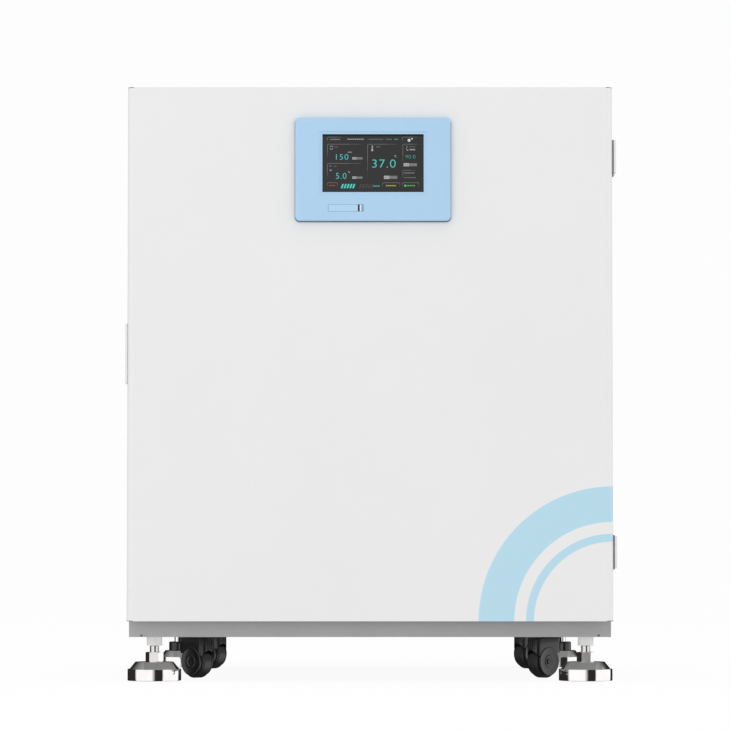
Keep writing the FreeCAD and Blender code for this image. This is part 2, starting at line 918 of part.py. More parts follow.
def make_platform():
    """Carriage with its bearing bosses, and the tray with the clamp holes."""
    bosses = []
    bores = []
    for place_name, x_at, y_at, _ in housing_places():
        main = place_name == "main"
        pin = "main_pin_radius" if main else "idler_pin_radius"
        gap = "running_gap" if main else "open_pivot_gap"
        at = (f"{x_at} + orbit_radius", y_at, "boss_low")
        bosses.append(rod(f"boss_{place_name}", at, f"{pin} + carriage_boss_wall", "carriage_boss_height"))
        bore_at = (at[0], at[1], "boss_low - cut_over")
        bores.append(rod(f"boss_bore_{place_name}", bore_at, f"{pin} + {gap}", "pin_length + cut_over"))
    reach = "idler_offset + carriage_margin"
    plate = slab(
        "carriage_plate",
        (f"orbit_radius - ({reach})", "platform_middle - idler_spread / 2 - carriage_margin", "carriage_low"),
        (f"orbit_radius + {reach}", "platform_middle + idler_spread + carriage_margin", "carriage_top"),
        (("carriage_margin / 2", along("z")),),
    )
    node(cut("platform_carriage", fuse("carriage_body", plate, *bosses), *bores))
    low_x = "orbit_radius - tray_half_width"
    low_y = "tray_front"
    high_x = "orbit_radius + tray_half_width"
    high_y = "tray_back"
    skirt_low = "carriage_top - skirt_height"
    tray = slab(
        "tray_plate",
        (low_x, low_y, skirt_low),
        (high_x, high_y, "platform_top"),
        (("platform_round", along("z")),),
    )
    hollow = box(
        "tray_hollow",
        (f"{low_x} + skirt_wall", f"{low_y} + skirt_wall", f"{skirt_low} - cut_over"),
        (f"{high_x} - skirt_wall", f"{high_y} - skirt_wall", "carriage_top"),
    )
    holes = []
    for column in range(CLAMP_COLUMNS):
        for row in range(CLAMP_ROWS):
            across = f"orbit_radius + {spaced(column, CLAMP_COLUMNS)} * (tray_half_width - clamp_side_margin)"
            back = f"platform_middle + {spaced(row, CLAMP_ROWS)} * (tray_half_depth - clamp_end_margin)"
            at = (across, back, "carriage_top - cut_over")
            holes.append(
                rod(f"clamp_hole_{column}_{row}", at, "clamp_hole_radius", "platform_wall + 2 * cut_over")
            )
    node(cut("platform_tray", tray, hollow, *holes))


def make_motor():
    """Flat motor on the floor plate, its pulley and the belt."""
    body_profile = [
        ("0", "0"),
        ("motor_radius + motor_flange", "0"),
        ("motor_radius + motor_flange", "motor_flange"),
        ("motor_radius", "motor_flange"),
        ("motor_radius", "motor_height - motor_flange"),
        ("motor_radius - motor_flange", "motor_height"),
        ("0", "motor_height"),
    ]
    node(turned("drive_motor", body_profile, ("motor_spread", "platform_middle", "deck_top")))
    shaft = rod(
        "motor_shaft",
        ("motor_spread", "platform_middle", "motor_top + clear_gap"),
        "motor_shaft_radius",
        "pulley_top - motor_top",
    )
    groove = "motor_pulley_radius - belt_wall"
    profile = [
        ("0", "0"),
        ("motor_pulley_radius", "0"),
        ("motor_pulley_radius", "pulley_rim"),
        (groove, "pulley_rim"),
        (groove, "pulley_height - pulley_rim"),
        ("motor_pulley_radius", "pulley_height - pulley_rim"),
        ("motor_pulley_radius", "pulley_height"),
        ("0", "pulley_height"),
    ]
    wheel = turned("motor_pulley_wheel", profile, ("motor_spread", "platform_middle", "pulley_low"))
    node(fuse("motor_pulley", shaft, wheel))
    node(make_belt())


def belt_loop(big, small, low, high):
    """The solid inside an open belt line round two wheels."""
    spread = VALUES["motor_spread"]
    lean = math.asin((big - small) / spread)
    up = FreeCAD.Vector(math.sin(lean), math.cos(lean), 0)
    down = FreeCAD.Vector(math.sin(lean), -math.cos(lean), 0)
    far = FreeCAD.Vector(spread, 0, 0)
    left = FreeCAD.Vector(-big, 0, 0)
    right = far + FreeCAD.Vector(small, 0, 0)
    wire = Part.Wire([
        Part.Arc(up * big, left, down * big).toShape(),
        Part.LineSegment(down * big, far + down * small).toShape(),
        Part.Arc(far + down * small, right, far + up * small).toShape(),
        Part.LineSegment(far + up * small, up * big).toShape(),
    ])
    face = Part.Face(wire)
    face.translate(FreeCAD.Vector(0, 0, low))
    return face.extrude(FreeCAD.Vector(0, 0, high - low))


def make_belt():
    """Flat belt in the grooves of the two pulleys."""
    big = VALUES["pulley_radius"] - VALUES["belt_wall"] + VALUES["clear_gap"]
    small = VALUES["motor_pulley_radius"] - VALUES["belt_wall"] + VALUES["clear_gap"]
    low = VALUES["pulley_low"] + VALUES["pulley_rim"] + VALUES["clear_gap"]
    high = VALUES["pulley_top"] - VALUES["pulley_rim"] - VALUES["clear_gap"]
    wall = VALUES["belt_wall"] / 2
    belt = doc.addObject("Part::Feature", "drive_belt")
    belt.Shape = belt_loop(big + wall, small + wall, low, high).cut(belt_loop(big, small, low, high))
    return place(belt, ("0", "platform_middle", "0"))


def make_air_path():
    """Baffle with an inlet and slots, fan wheel and motor, heater ring and probe."""
    plate = box(
        "baffle_sheet",
        ("-chamber_half + baffle_side_gap", "baffle_front", "chamber_floor + baffle_low_gap"),
        ("chamber_half - baffle_side_gap", "baffle_back", "chamber_top"),
    )
    start = "baffle_front - cut_over"
    thick = "baffle_wall + 2 * cut_over"
    tools = []
    for index in range(INLET_SLOTS):
        share = f"({2 * index - (INLET_SLOTS - 1)} / {INLET_SLOTS})"
        height = f"fan_middle_z + {share} * fan_inlet_radius"
        half = f"fan_inlet_radius * sqrt(1 - {share} * {share})"
        tools.append(
            box(
                f"inlet_slot_{index}",
                (f"-{half}", start, f"{height} - baffle_slot_height / 2"),
                (half, "baffle_back + cut_over", f"{height} + baffle_slot_height / 2"),
            )
        )
    for side, _ in sides():
        for index in range(BAFFLE_SLOTS):
            step = f"(chamber_height - baffle_low_gap) / {BAFFLE_SLOTS + 1}"
            middle = f"chamber_floor + baffle_low_gap + {index + 1} * {step}"
            near = "fan_radius + 3 * baffle_side_gap"
            far = "chamber_half - 2 * baffle_side_gap"
            low_x, high_x = (f"-({far})", f"-({near})") if side == "left" else (near, far)
            tools.append(
                box(
                    f"outlet_slot_{side}_{index}",
                    (low_x, start, f"{middle} - baffle_slot_height"),
                    (high_x, "baffle_back + cut_over", f"{middle}"),
                )
            )
    tools.append(
        rod(
            "baffle_probe_hole",
            ("-probe_offset", start, "chamber_top - probe_drop"),
            "probe_radius",
            thick,
            BACKWARD,
        )
    )
    face = cut("baffle_face", plate, *tools)
    flanges = []
    for side, _ in sides():
        left_edge = "-chamber_half + baffle_side_gap"
        right_edge = "chamber_half - baffle_side_gap - baffle_wall"
        edge = left_edge if side == "left" else right_edge
        flanges.append(
            box(
                f"baffle_flange_{side}",
                (edge, "baffle_back", "chamber_floor + baffle_low_gap"),
                (f"{edge} + baffle_wall", "chamber_back", "chamber_top"),
            )
        )
    node(fuse("air_baffle", face, *flanges))
    at = ("0", "liner_back", "fan_middle_z")
    profile = [
        ("fan_shaft_radius + clear_gap", "0"),
        ("fan_motor_radius", "0"),
        ("fan_motor_radius", "rear_insulation"),
        ("fan_motor_radius + flange_wall", "rear_insulation"),
        ("fan_motor_radius + flange_wall", "rear_insulation + flange_wall"),
        ("0", "rear_insulation + flange_wall"),
        ("0", "rear_insulation"),
        ("fan_shaft_radius + clear_gap", "rear_insulation"),
    ]
    node(turned("fan_motor", profile, at, BACKWARD))
    disc = rod(
        "fan_plate", ("0", "fan_plate_front", "fan_middle_z"), "fan_radius", "fan_plate_wall", BACKWARD,
    )
    hub = rod(
        "fan_hub",
        ("0", "fan_plate_front - fan_blade_height", "fan_middle_z"),
        "fan_hub_radius",
        "fan_blade_height",
        BACKWARD,
    )
    shaft = rod(
        "fan_shaft",
        ("0", "fan_plate_back", "fan_middle_z"),
        "fan_shaft_radius",
        "liner_back + rear_insulation / 2 - fan_plate_back",
        BACKWARD,
    )
    blades = [fan_blade(index) for index in range(FAN_BLADES)]
    node(fuse("fan_wheel", disc, hub, shaft, *blades))
    heater = doc.addObject("Part::Torus", "heater_loop")
    bind(heater, "Radius1", "heater_ring_radius")
    bind(heater, "Radius2", "heater_wire_radius")
    place(heater, ("0", "(baffle_back + chamber_back) / 2", "fan_middle_z"), BACKWARD)
    posts = []
    for angle in IDLER_ANGLES:
        x_at = f"heater_ring_radius * cos({angle} deg)"
        z_at = f"fan_middle_z + heater_ring_radius * sin({angle} deg)"
        posts.append(
            rod(
                f"heater_post_{angle}",
                (x_at, "(baffle_back + chamber_back) / 2", z_at),
                "heater_wire_radius / 2",
                "(chamber_back - baffle_back) / 2",
                BACKWARD,
            )
        )
    node(fuse("heater_ring", heater, *posts))
    stem = rod(
        "probe_stem",
        ("-probe_offset", "baffle_back - probe_length", "chamber_top - probe_drop"),
        "probe_radius",
        "probe_length",
        BACKWARD,
    )
    collar = rod(
        "probe_collar_disc",
        ("-probe_offset", "baffle_front - probe_collar", "chamber_top - probe_drop"),
        "probe_collar_radius",
        "probe_collar",
        BACKWARD,
    )
    node(fuse("sensor_probe", stem, collar))


def fan_blade(index):
    """One radial blade of the fan wheel, standing forward from its plate."""
    blade = doc.addObject("Part::Box", f"fan_blade_{index}")
    bind(blade, "Length", "fan_radius - fan_hub_radius / 2")
    bind(blade, "Width", "fan_blade_height")
    bind(blade, "Height", "fan_blade_wall")
    angle = index * FULL_TURN / FAN_BLADES
    turn = FreeCAD.Rotation(FreeCAD.Vector(0, 1, 0), -angle)
    reach = "fan_hub_radius / 2"
    at = (
        f"{reach} * cos({angle} deg)",
        "fan_plate_front - fan_blade_height",
        f"fan_middle_z + {reach} * sin({angle} deg)",
    )
    return place(blade, at, turn)


def make_pan():
    """Open humidity pan on the chamber floor near the door."""
    low = ("-pan_width / 2", "chamber_front + pan_setback", "chamber_floor")
    high = ("pan_width / 2", "chamber_front + pan_setback + pan_depth", "chamber_floor + pan_height")
    outer = slab("pan_block", low, high, (("case_round", along("z")),))
    inner = box(
        "pan_hollow",
        (f"{low[0]} + pan_wall", f"{low[1]} + pan_wall", f"{low[2]} + pan_wall"),
        (f"{high[0]} - pan_wall", f"{high[1]} - pan_wall", f"{high[2]} + cut_over"),
    )
    node(cut("humidity_pan", outer, inner))


def make_service_parts():
    """Control box with its board, gas valve and fitting, power inlet and rocker switch."""
    box_low = ("-control_width / 2", "service_front", "control_middle_z - control_height / 2")
    box_high = ("control_width / 2", "service_front + control_depth", "control_middle_z + control_height / 2")
    shell = box("control_shell", box_low, box_high)
    hollow = box(
        "control_hollow",
        tuple(f"{part} + control_wall" for part in box_low),
        (f"{box_high[0]} - control_wall", f"{box_high[1]} + cut_over", f"{box_high[2]} - control_wall"),
    )
    node(cut("control_box", shell, hollow))
    board_low = (
        f"{box_low[0]} + board_margin", "service_front + board_standoff", f"{box_low[2]} + board_margin",
    )
    board_high = (
        f"{box_high[0]} - board_margin",
        "service_front + board_standoff + board_wall",
        f"{box_high[2]} - board_margin",
    )
    parts = [box("board_sheet", board_low, board_high)]
    for column, row in ((-1, -1), (-1, 1), (1, -1), (1, 1), (0, 0)):
        x_low = f"{column} * 2 * chip_width - chip_width / 2"
        z_low = f"control_middle_z + {row} * 2 * chip_width - chip_width / 2"
        parts.append(
            box(
                f"chip_{column}_{row}",
                (x_low, board_high[1], z_low),
                (f"{x_low} + chip_width", f"{board_high[1]} + chip_height", f"{z_low} + chip_width"),
            )
        )
    for column in (-1, 1):
        for row in (-1, 1):
            x_at = f"{column} * (control_width / 2 - 2 * board_margin)"
            z_at = f"control_middle_z + {row} * (control_height / 2 - 2 * board_margin)"
            parts.append(
                rod(
                    f"board_post_{column}_{row}",
                    (x_at, "service_front + control_wall", z_at),
                    "board_margin / 4",
                    "board_standoff - control_wall",
                    BACKWARD,
                )
            )
    node(fuse("main_board", *parts))
    profile = [
        ("0", "0"),
        ("gas_barb_radius", "0"),
        ("gas_barb_radius", "panel_wall"),
        ("gas_flange_radius", "panel_wall"),
        ("gas_flange_radius", "panel_wall + gas_flange_wall"),
        ("gas_barb_radius", "panel_wall + gas_flange_wall"),
        ("gas_barb_radius", "panel_wall + gas_flange_wall + gas_barb_length"),
        ("0", "panel_wall + gas_flange_wall + gas_barb_length"),
    ]
    node(turned("gas_fitting", profile, ("gas_offset", "panel_inner_back", "gas_z"), BACKWARD))
    block = box(
        "valve_block",
        (
            "gas_offset - gas_valve_size / 2",
            "panel_inner_back - gas_valve_size",
            "gas_z - gas_valve_size / 2",
        ),
        ("gas_offset + gas_valve_size / 2", "panel_inner_back", "gas_z + gas_valve_size / 2"),
    )
    tube = rod(
        "valve_tube",
        ("gas_offset", "chamber_back", "gas_z"),
        "gas_tube_radius",
        "panel_inner_back - gas_valve_size - chamber_back",
        BACKWARD,
    )
    coil = rod(
        "valve_coil",
        ("gas_offset", "panel_inner_back - gas_valve_size / 2", "gas_z + gas_valve_size / 2"),
        "gas_valve_size / 3",
        "gas_valve_size",
    )
    node(fuse("gas_valve", block, tube, coil))
    make_power_inlet()


def make_power_inlet():
    """Mains socket with three pins and the rocker switch above it, in one frame."""
    left = "-power_offset - power_width / 2"
    right = "-power_offset + power_width / 2"
    low = "power_rise - power_height / 2"
    high = "power_rise + power_height / 2"
    barrel = box("power_barrel", (left, "body_back - power_depth", low), (right, "body_back", high))
    flange = slab(
        "power_flange",
        (f"{left} - power_flange_lip", "body_back", f"{low} - power_flange_lip"),
        (f"{right} + power_flange_lip", "body_back + power_flange_wall", f"{high} + power_flange_lip"),
        (("case_round", along("y")),),
    )
    mouth = "body_back + power_flange_wall"
    socket_z = "power_rise - power_height / 4"
    rocker_z = "power_rise + power_height / 4"
    socket = box(
        "power_socket",
        ("-power_offset - inlet_width / 2", f"{mouth} - inlet_depth", f"{socket_z} - inlet_height / 2"),
        ("-power_offset + inlet_width / 2", f"{mouth} + cut_over", f"{socket_z} + inlet_height / 2"),
    )
    well = box(
        "rocker_well",
        (
            "-power_offset - rocker_width / 2 - clear_gap",
            f"{mouth} - rocker_depth - 2 * rocker_proud",
            f"{rocker_z} - rocker_height / 2 - rocker_proud",
        ),
        (
            "-power_offset + rocker_width / 2 + clear_gap",
            f"{mouth} + cut_over",
            f"{rocker_z} + rocker_height / 2 + rocker_proud",
        ),
    )
    axle_at = ("-power_offset - rocker_width / 2 - rocker_proud", f"{mouth} - rocker_depth / 2", rocker_z)
    axle_bore = rod(
        "rocker_bore",
        axle_at,
        "rocker_pin_radius + running_gap",
        "rocker_width + 2 * rocker_proud",
        RIGHTWARD,
    )
    frame = cut("power_frame", fuse("power_body", barrel, flange), socket, well, axle_bore)
    pins = []
    for index, rise in ((-1, 0), (0, 1), (1, 0)):
        x_at = f"-power_offset + {index} * inlet_pin_pitch"
        z_at = f"{socket_z} + {rise} * inlet_pin_width"
        pins.append(
            box(
                f"inlet_pin_{index}",
                (f"{x_at} - inlet_pin_width / 2", f"{mouth} - inlet_depth", f"{z_at} - inlet_pin_height / 2"),
                (
                    f"{x_at} + inlet_pin_width / 2",
                    f"{mouth} - power_flange_wall",
                    f"{z_at} + inlet_pin_height / 2",
                ),
            )
        )
    node(fuse("power_inlet", frame, *pins))
    paddle = slab(
        "rocker_paddle",
        ("-power_offset - rocker_width / 2", f"{mouth} - rocker_depth", f"{rocker_z} - rocker_height / 2"),
        ("-power_offset + rocker_width / 2", f"{mouth} + rocker_proud", f"{rocker_z} + rocker_height / 2"),
        (("case_round / 2", lambda a, b: along("x")(a, b) and a.y > 0),),
    )
    axle_at = ("-power_offset - rocker_width / 2 - rocker_proud + clear_gap", axle_at[1], rocker_z)
    axle = rod(
        "rocker_axle",
        axle_at,
        "rocker_pin_radius",
        "rocker_width + 2 * (rocker_proud - clear_gap)",
        RIGHTWARD,
    )
    node(fuse("power_rocker", paddle, axle))


def make_door():
    """Door skin, end caps, inner panel, core and magnetic gasket."""
    front_edges = (("door_round", lambda a, b: along("z")(a, b) and a.y < 1e-6),)
    outer = slab(
        "door_outer",
        ("-half_width", "door_front", "plinth_top"),
        ("half_width", "door_back", "door_top"),
        front_edges,
    )
    inner_edges = (("door_round - door_wall", front_edges[0][1]),)
    inner_low = ("-half_width + door_wall", "door_front + door_wall", "plinth_top + door_wall")
    inner_high = ("half_width - door_wall", "door_back + cut_over", "door_top - door_wall")
    hollow = slab("door_hollow", inner_low, inner_high, inner_edges)
    caps = []
    cap_tools = []
    for side, _ in sides():
        for end in ("low", "high"):
            x_low, x_high = ("-half_width", "-half_width + door_cap_depth") if side == "left" else (
                "half_width - door_cap_depth", "half_width",
            )
            z_low, z_high = ("plinth_top", "plinth_top + door_cap_height") if end == "low" else (
                "door_top - door_cap_height", "door_top",
            )
            low = (x_low, "door_front", z_low)
            high = (x_high, "door_front + door_cap_depth", z_high)
            corner = (lambda a, b: along("z")(a, b) and a.y < 1e-6 and a.x < 1e-6) if side == "left" else (
                lambda a, b: along("z")(a, b) and a.y < 1e-6 and a.x > 1e-6
            )
            caps.append(slab(f"door_cap_{side}_{end}", low, high, (("door_round", corner),)))
            cap_tools.append(box(f"door_cap_cut_{side}_{end}", low, high))
    window = box(
        "door_window",
        (
            "screen_middle_x - screen_width / 2 - module_border - clear_gap",
            "door_front - cut_over",
            "screen_middle_z - screen_height / 2 - module_border - clear_gap",
        ),
        (
            "screen_middle_x + screen_width / 2 + module_border + clear_gap",
            "door_front + module_depth",
            "screen_middle_z + screen_height / 2 + module_border + clear_gap",
        ),
    )
    port = socket_block(
        "door_port",
        "clear_gap",
        "door_front - cut_over",
        "bezel_front + usb_recess + socket_depth + clear_gap",
    )
    grip = grip_block("door_grip", "0")
    node(cut("door_skin", outer, hollow, window, port, grip, *cap_tools))
    node(group("door_edge_caps", *caps))
    core_low = inner_low
    core_high = ("half_width - door_wall", "door_back - door_wall", "door_top - door_wall")
    core = slab("door_core_block", core_low, core_high, inner_edges)
    trims = []
    for side, _ in sides():
        x_low, x_high = (core_low[0], f"{core_low[0]} + door_cap_depth") if side == "left" else (
            f"{core_high[0]} - door_cap_depth", core_high[0],
        )
        for end in ("low", "high"):
            z_low, z_high = (core_low[2], f"{core_low[2]} + door_cap_height") if end == "low" else (
                f"{core_high[2]} - door_cap_height", core_high[2],
            )
            trims.append(
                box(
                    f"core_trim_{side}_{end}",
                    (x_low, core_low[1], z_low),
                    (x_high, f"{core_low[1]} + door_cap_depth", z_high),
                )
            )
    core_window = box(
        "core_window",
        (
            "screen_middle_x - screen_width / 2 - module_border - clear_gap",
            "door_front",
            "screen_middle_z - screen_height / 2 - module_border - clear_gap",
        ),
        (
            "screen_middle_x + screen_width / 2 + module_border + clear_gap",
            "bezel_front + screen_recess + screen_glass + module_depth + clear_gap",
            "screen_middle_z + screen_height / 2 + module_border + clear_gap",
        ),
    )
    core_port = socket_block(
        "core_port", "clear_gap", "door_front", "bezel_front + usb_recess + socket_depth + clear_gap",
    )
    node(cut("door_core", core, core_window, core_port, grip_block("core_grip", "clear_gap"), *trims))
    panel_low = ("-half_width + door_wall", "door_back - door_wall", "plinth_top + door_wall")
    panel_high = ("half_width - door_wall", "door_back", "door_top - door_wall")
    node(box("door_inner_panel", panel_low, panel_high))
    near = "chamber_half + gasket_margin"
    far = "chamber_half + gasket_margin + gasket_width"
    low_in, low_out = "chamber_floor - gasket_margin", "chamber_floor - gasket_margin - gasket_width"
    high_in, high_out = "chamber_top + gasket_margin", "chamber_top + gasket_margin + gasket_width"
    seal_front = "door_back"
    seal_back = "body_front - clear_gap"
    seals = [
        box("seal_left", (f"-({far})", seal_front, low_in), (f"-({near})", seal_back, high_in)),
        box("seal_right", (near, seal_front, low_in), (far, seal_back, high_in)),
        box("seal_low", (f"-({far})", seal_front, low_out), (far, seal_back, low_in)),
        box("seal_high", (f"-({far})", seal_front, high_in), (far, seal_back, high_out)),
    ]
    node(group("door_gasket", *seals))


def grip_block(name, gap):
    """The space that the grip cup takes in the left edge of the door."""
    middle = "plinth_top + door_height * grip_share"
    return box(
        name,
        (
            "-half_width - cut_over",
            f"door_front + grip_front_inset + grip_wall - ({gap})",
            f"{middle} - grip_length / 2 + grip_wall - ({gap})",
        ),
        (
            f"-half_width + grip_reach + {gap}",
            f"door_front + grip_front_inset + grip_depth - grip_wall + {gap}",
            f"{middle} + grip_length / 2 - grip_wall + {gap}",
        ),
    )


def make_grip():
    """Finger cup in the left edge of the door, with a proud pull strip at its front."""
    middle = "plinth_top + door_height * grip_share"
    front = "door_front + grip_front_inset"
    cup = box(
        "grip_cup",
        ("-half_width", f"{front} + grip_wall", f"{middle} - grip_length / 2 + grip_wall"),
        (
            "-half_width + grip_reach",
            f"{front} + grip_depth - grip_wall",
            f"{middle} + grip_length / 2 - grip_wall",
        ),
    )
    rim = slab(
        "grip_rim",
        ("-half_width - grip_proud", front, f"{middle} - grip_length / 2"),
        ("-half_width", f"{front} + grip_depth", f"{middle} + grip_length / 2"),
        (("grip_wall / 2", lambda a, b: a.x < 1e-6 and b.x < 1e-6),),
    )
    hollow = box(
        "grip_hollow",
        (
            "-half_width - grip_proud - cut_over",
            f"{front} + grip_lip",
            f"{middle} - grip_length / 2 + 2 * grip_wall",
        ),
        (
            "-half_width + grip_reach - grip_wall",
            f"{front} + grip_depth - 2 * grip_wall",
            f"{middle} + grip_length / 2 - 2 * grip_wall",
        ),
    )
    hook = box(
        "grip_undercut",
        (
            "-half_width + grip_wall",
            f"{front} + 2 * grip_wall",
            f"{middle} - grip_length / 2 + 2 * grip_wall",
        ),
        (
            "-half_width + grip_reach - grip_wall",
            f"{front} + grip_lip + cut_over",
            f"{middle} + grip_length / 2 - 2 * grip_wall",
        ),
    )
    node(cut("door_grip", fuse("grip_body", cup, rim), hollow, hook), "grip_cup_strip")


def socket_block(name, gap, front, back):
    """The space of the USB socket behind its cover."""
    middle_x = "usb_start + usb_length / 2"
    middle_z = "usb_under + usb_height / 2"
    return box(
        name,
        (f"{middle_x} - socket_width / 2 - ({gap})", front, f"{middle_z} - socket_height / 2 - ({gap})"),
        (f"{middle_x} + socket_width / 2 + {gap}", back, f"{middle_z} + socket_height / 2 + {gap}"),
    )


def make_control_panel():
    """Blue bezel with a touch display module, and the USB socket behind its hinged cover."""
    low = ("bezel_left", "bezel_front", "bezel_low")
    high = ("bezel_right", "bezel_back", "bezel_high")
    rounds = (
        ("bezel_round", along("y")),
        ("bezel_edge_round", lambda a, b: a.y < 1e-6 and b.y < 1e-6),
    )
    block = slab("bezel_block", low, high, rounds)
    glass_low_x = "screen_middle_x - screen_width / 2"
    glass_high_x = "screen_middle_x + screen_width / 2"
    glass_low_z = "screen_middle_z - screen_height / 2"
    glass_high_z = "screen_middle_z + screen_height / 2"
    recess = box(
        "bezel_recess",
        (f"{glass_low_x} - screen_rim", "bezel_front - cut_over", f"{glass_low_z} - screen_rim"),
        (f"{glass_high_x} + screen_rim", "screen_front", f"{glass_high_z} + screen_rim"),
    )
    window = box(
        "bezel_window",
        (glass_low_x, "bezel_front - cut_over", glass_low_z),
        (glass_high_x, "bezel_back + cut_over", glass_high_z),
    )
    module_well = box(
        "bezel_module_well",
        (
            f"{glass_low_x} - module_border - clear_gap",
            "screen_front + screen_glass",
            f"{glass_low_z} - module_border - clear_gap",
        ),
        (
            f"{glass_high_x} + module_border + clear_gap",
            "bezel_back + cut_over",
            f"{glass_high_z} + module_border + clear_gap",
        ),
    )
    cover_well = box(
        "bezel_cover_well",
        ("usb_start", "bezel_front - cut_over", "usb_under"),
        ("usb_start + usb_length", "bezel_front + usb_recess", "usb_over"),
    )
    port = socket_block("bezel_port", "0", "bezel_front", "bezel_back + cut_over")
    pin_x = "usb_start + clear_gap + usb_cover_wall / 2"
    pin_y = "bezel_front + usb_cover_wall / 2"
    pin_over = "4 * usb_pin_radius"
    pin_bore = rod(
        "usb_pin_bore",
        (pin_x, pin_y, f"usb_under - {pin_over}"),
        "usb_pin_radius + running_gap",
        f"usb_height + 2 * {pin_over}",
    )
    node(cut("control_bezel", block, recess, window, module_well, cover_well, port, pin_bore))
    glass = box(
        "screen_pane",
        (glass_low_x, "screen_front", glass_low_z),
        (glass_high_x, "screen_front + screen_glass", glass_high_z),
    )
    module = box(
        "screen_module",
        (f"{glass_low_x} - module_border", "screen_front + screen_glass", f"{glass_low_z} - module_border"),
        (
            f"{glass_high_x} + module_border",
            "screen_front + screen_glass + module_depth",
            f"{glass_high_z} + module_border",
        ),
    )
    node(group("display_screen", glass, module))
    shell = socket_block(
        "socket_shell", "0", "bezel_front + usb_recess", "bezel_front + usb_recess + socket_depth",
    )
    middle_x = "usb_start + usb_length / 2"
    middle_z = "usb_under + usb_height / 2"
    mouth = "bezel_front + usb_recess"
    hollow = box(
        "socket_hollow",
        (
            f"{middle_x} - socket_width / 2 + socket_wall",
            f"{mouth} - cut_over",
            f"{middle_z} - socket_height / 2 + socket_wall",
        ),
        (
            f"{middle_x} + socket_width / 2 - socket_wall",
            f"{mouth} + socket_depth - socket_wall",
            f"{middle_z} + socket_height / 2 - socket_wall",
        ),
    )
    tongue = box(
        "socket_tongue_bar",
        (
            f"{middle_x} - socket_width / 2 + 2 * socket_wall",
            f"{mouth} + socket_tongue",
            f"{middle_z} + socket_height / 2 - socket_wall - socket_tongue",
        ),
        (
            f"{middle_x} + socket_width / 2 - 2 * socket_wall",
            f"{mouth} + socket_depth - socket_wall",
            f"{middle_z} + socket_height / 2 - socket_wall",
        ),
    )
    node(fuse("usb_socket", cut("socket_case", shell, hollow), tongue))
    leaf = box(
        "cover_leaf",
        (pin_x, "bezel_front", "usb_under + clear_gap"),
        ("usb_start + usb_length - clear_gap", "bezel_front + usb_cover_wall", "usb_over - clear_gap"),
    )
    roll = rod(
        "cover_roll",
        (pin_x, pin_y, "usb_under + clear_gap"),
        "usb_cover_wall / 2",
        "usb_height - 2 * clear_gap",
    )
    pin = rod(
        "cover_pin",
        (pin_x, pin_y, f"usb_under - {pin_over} + clear_gap"),
        "usb_pin_radius",
        f"usb_height + 2 * {pin_over} - 2 * clear_gap",
    )
    notch_high = "usb_start + usb_length - usb_notch_inset"
    notch = box(
        "cover_notch",
        (f"{notch_high} - usb_notch", "bezel_front - cut_over", "usb_under"),
        (notch_high, "bezel_front + usb_notch_depth", "usb_over"),
    )
    node(cut("usb_cover", fuse("cover_body", leaf, roll, pin), notch))


def hinge_heights():
    """The two hinges: a name and the height of the middle."""
    return (("low", "plinth_top + hinge_inset"), ("high", "door_top - hinge_inset"))


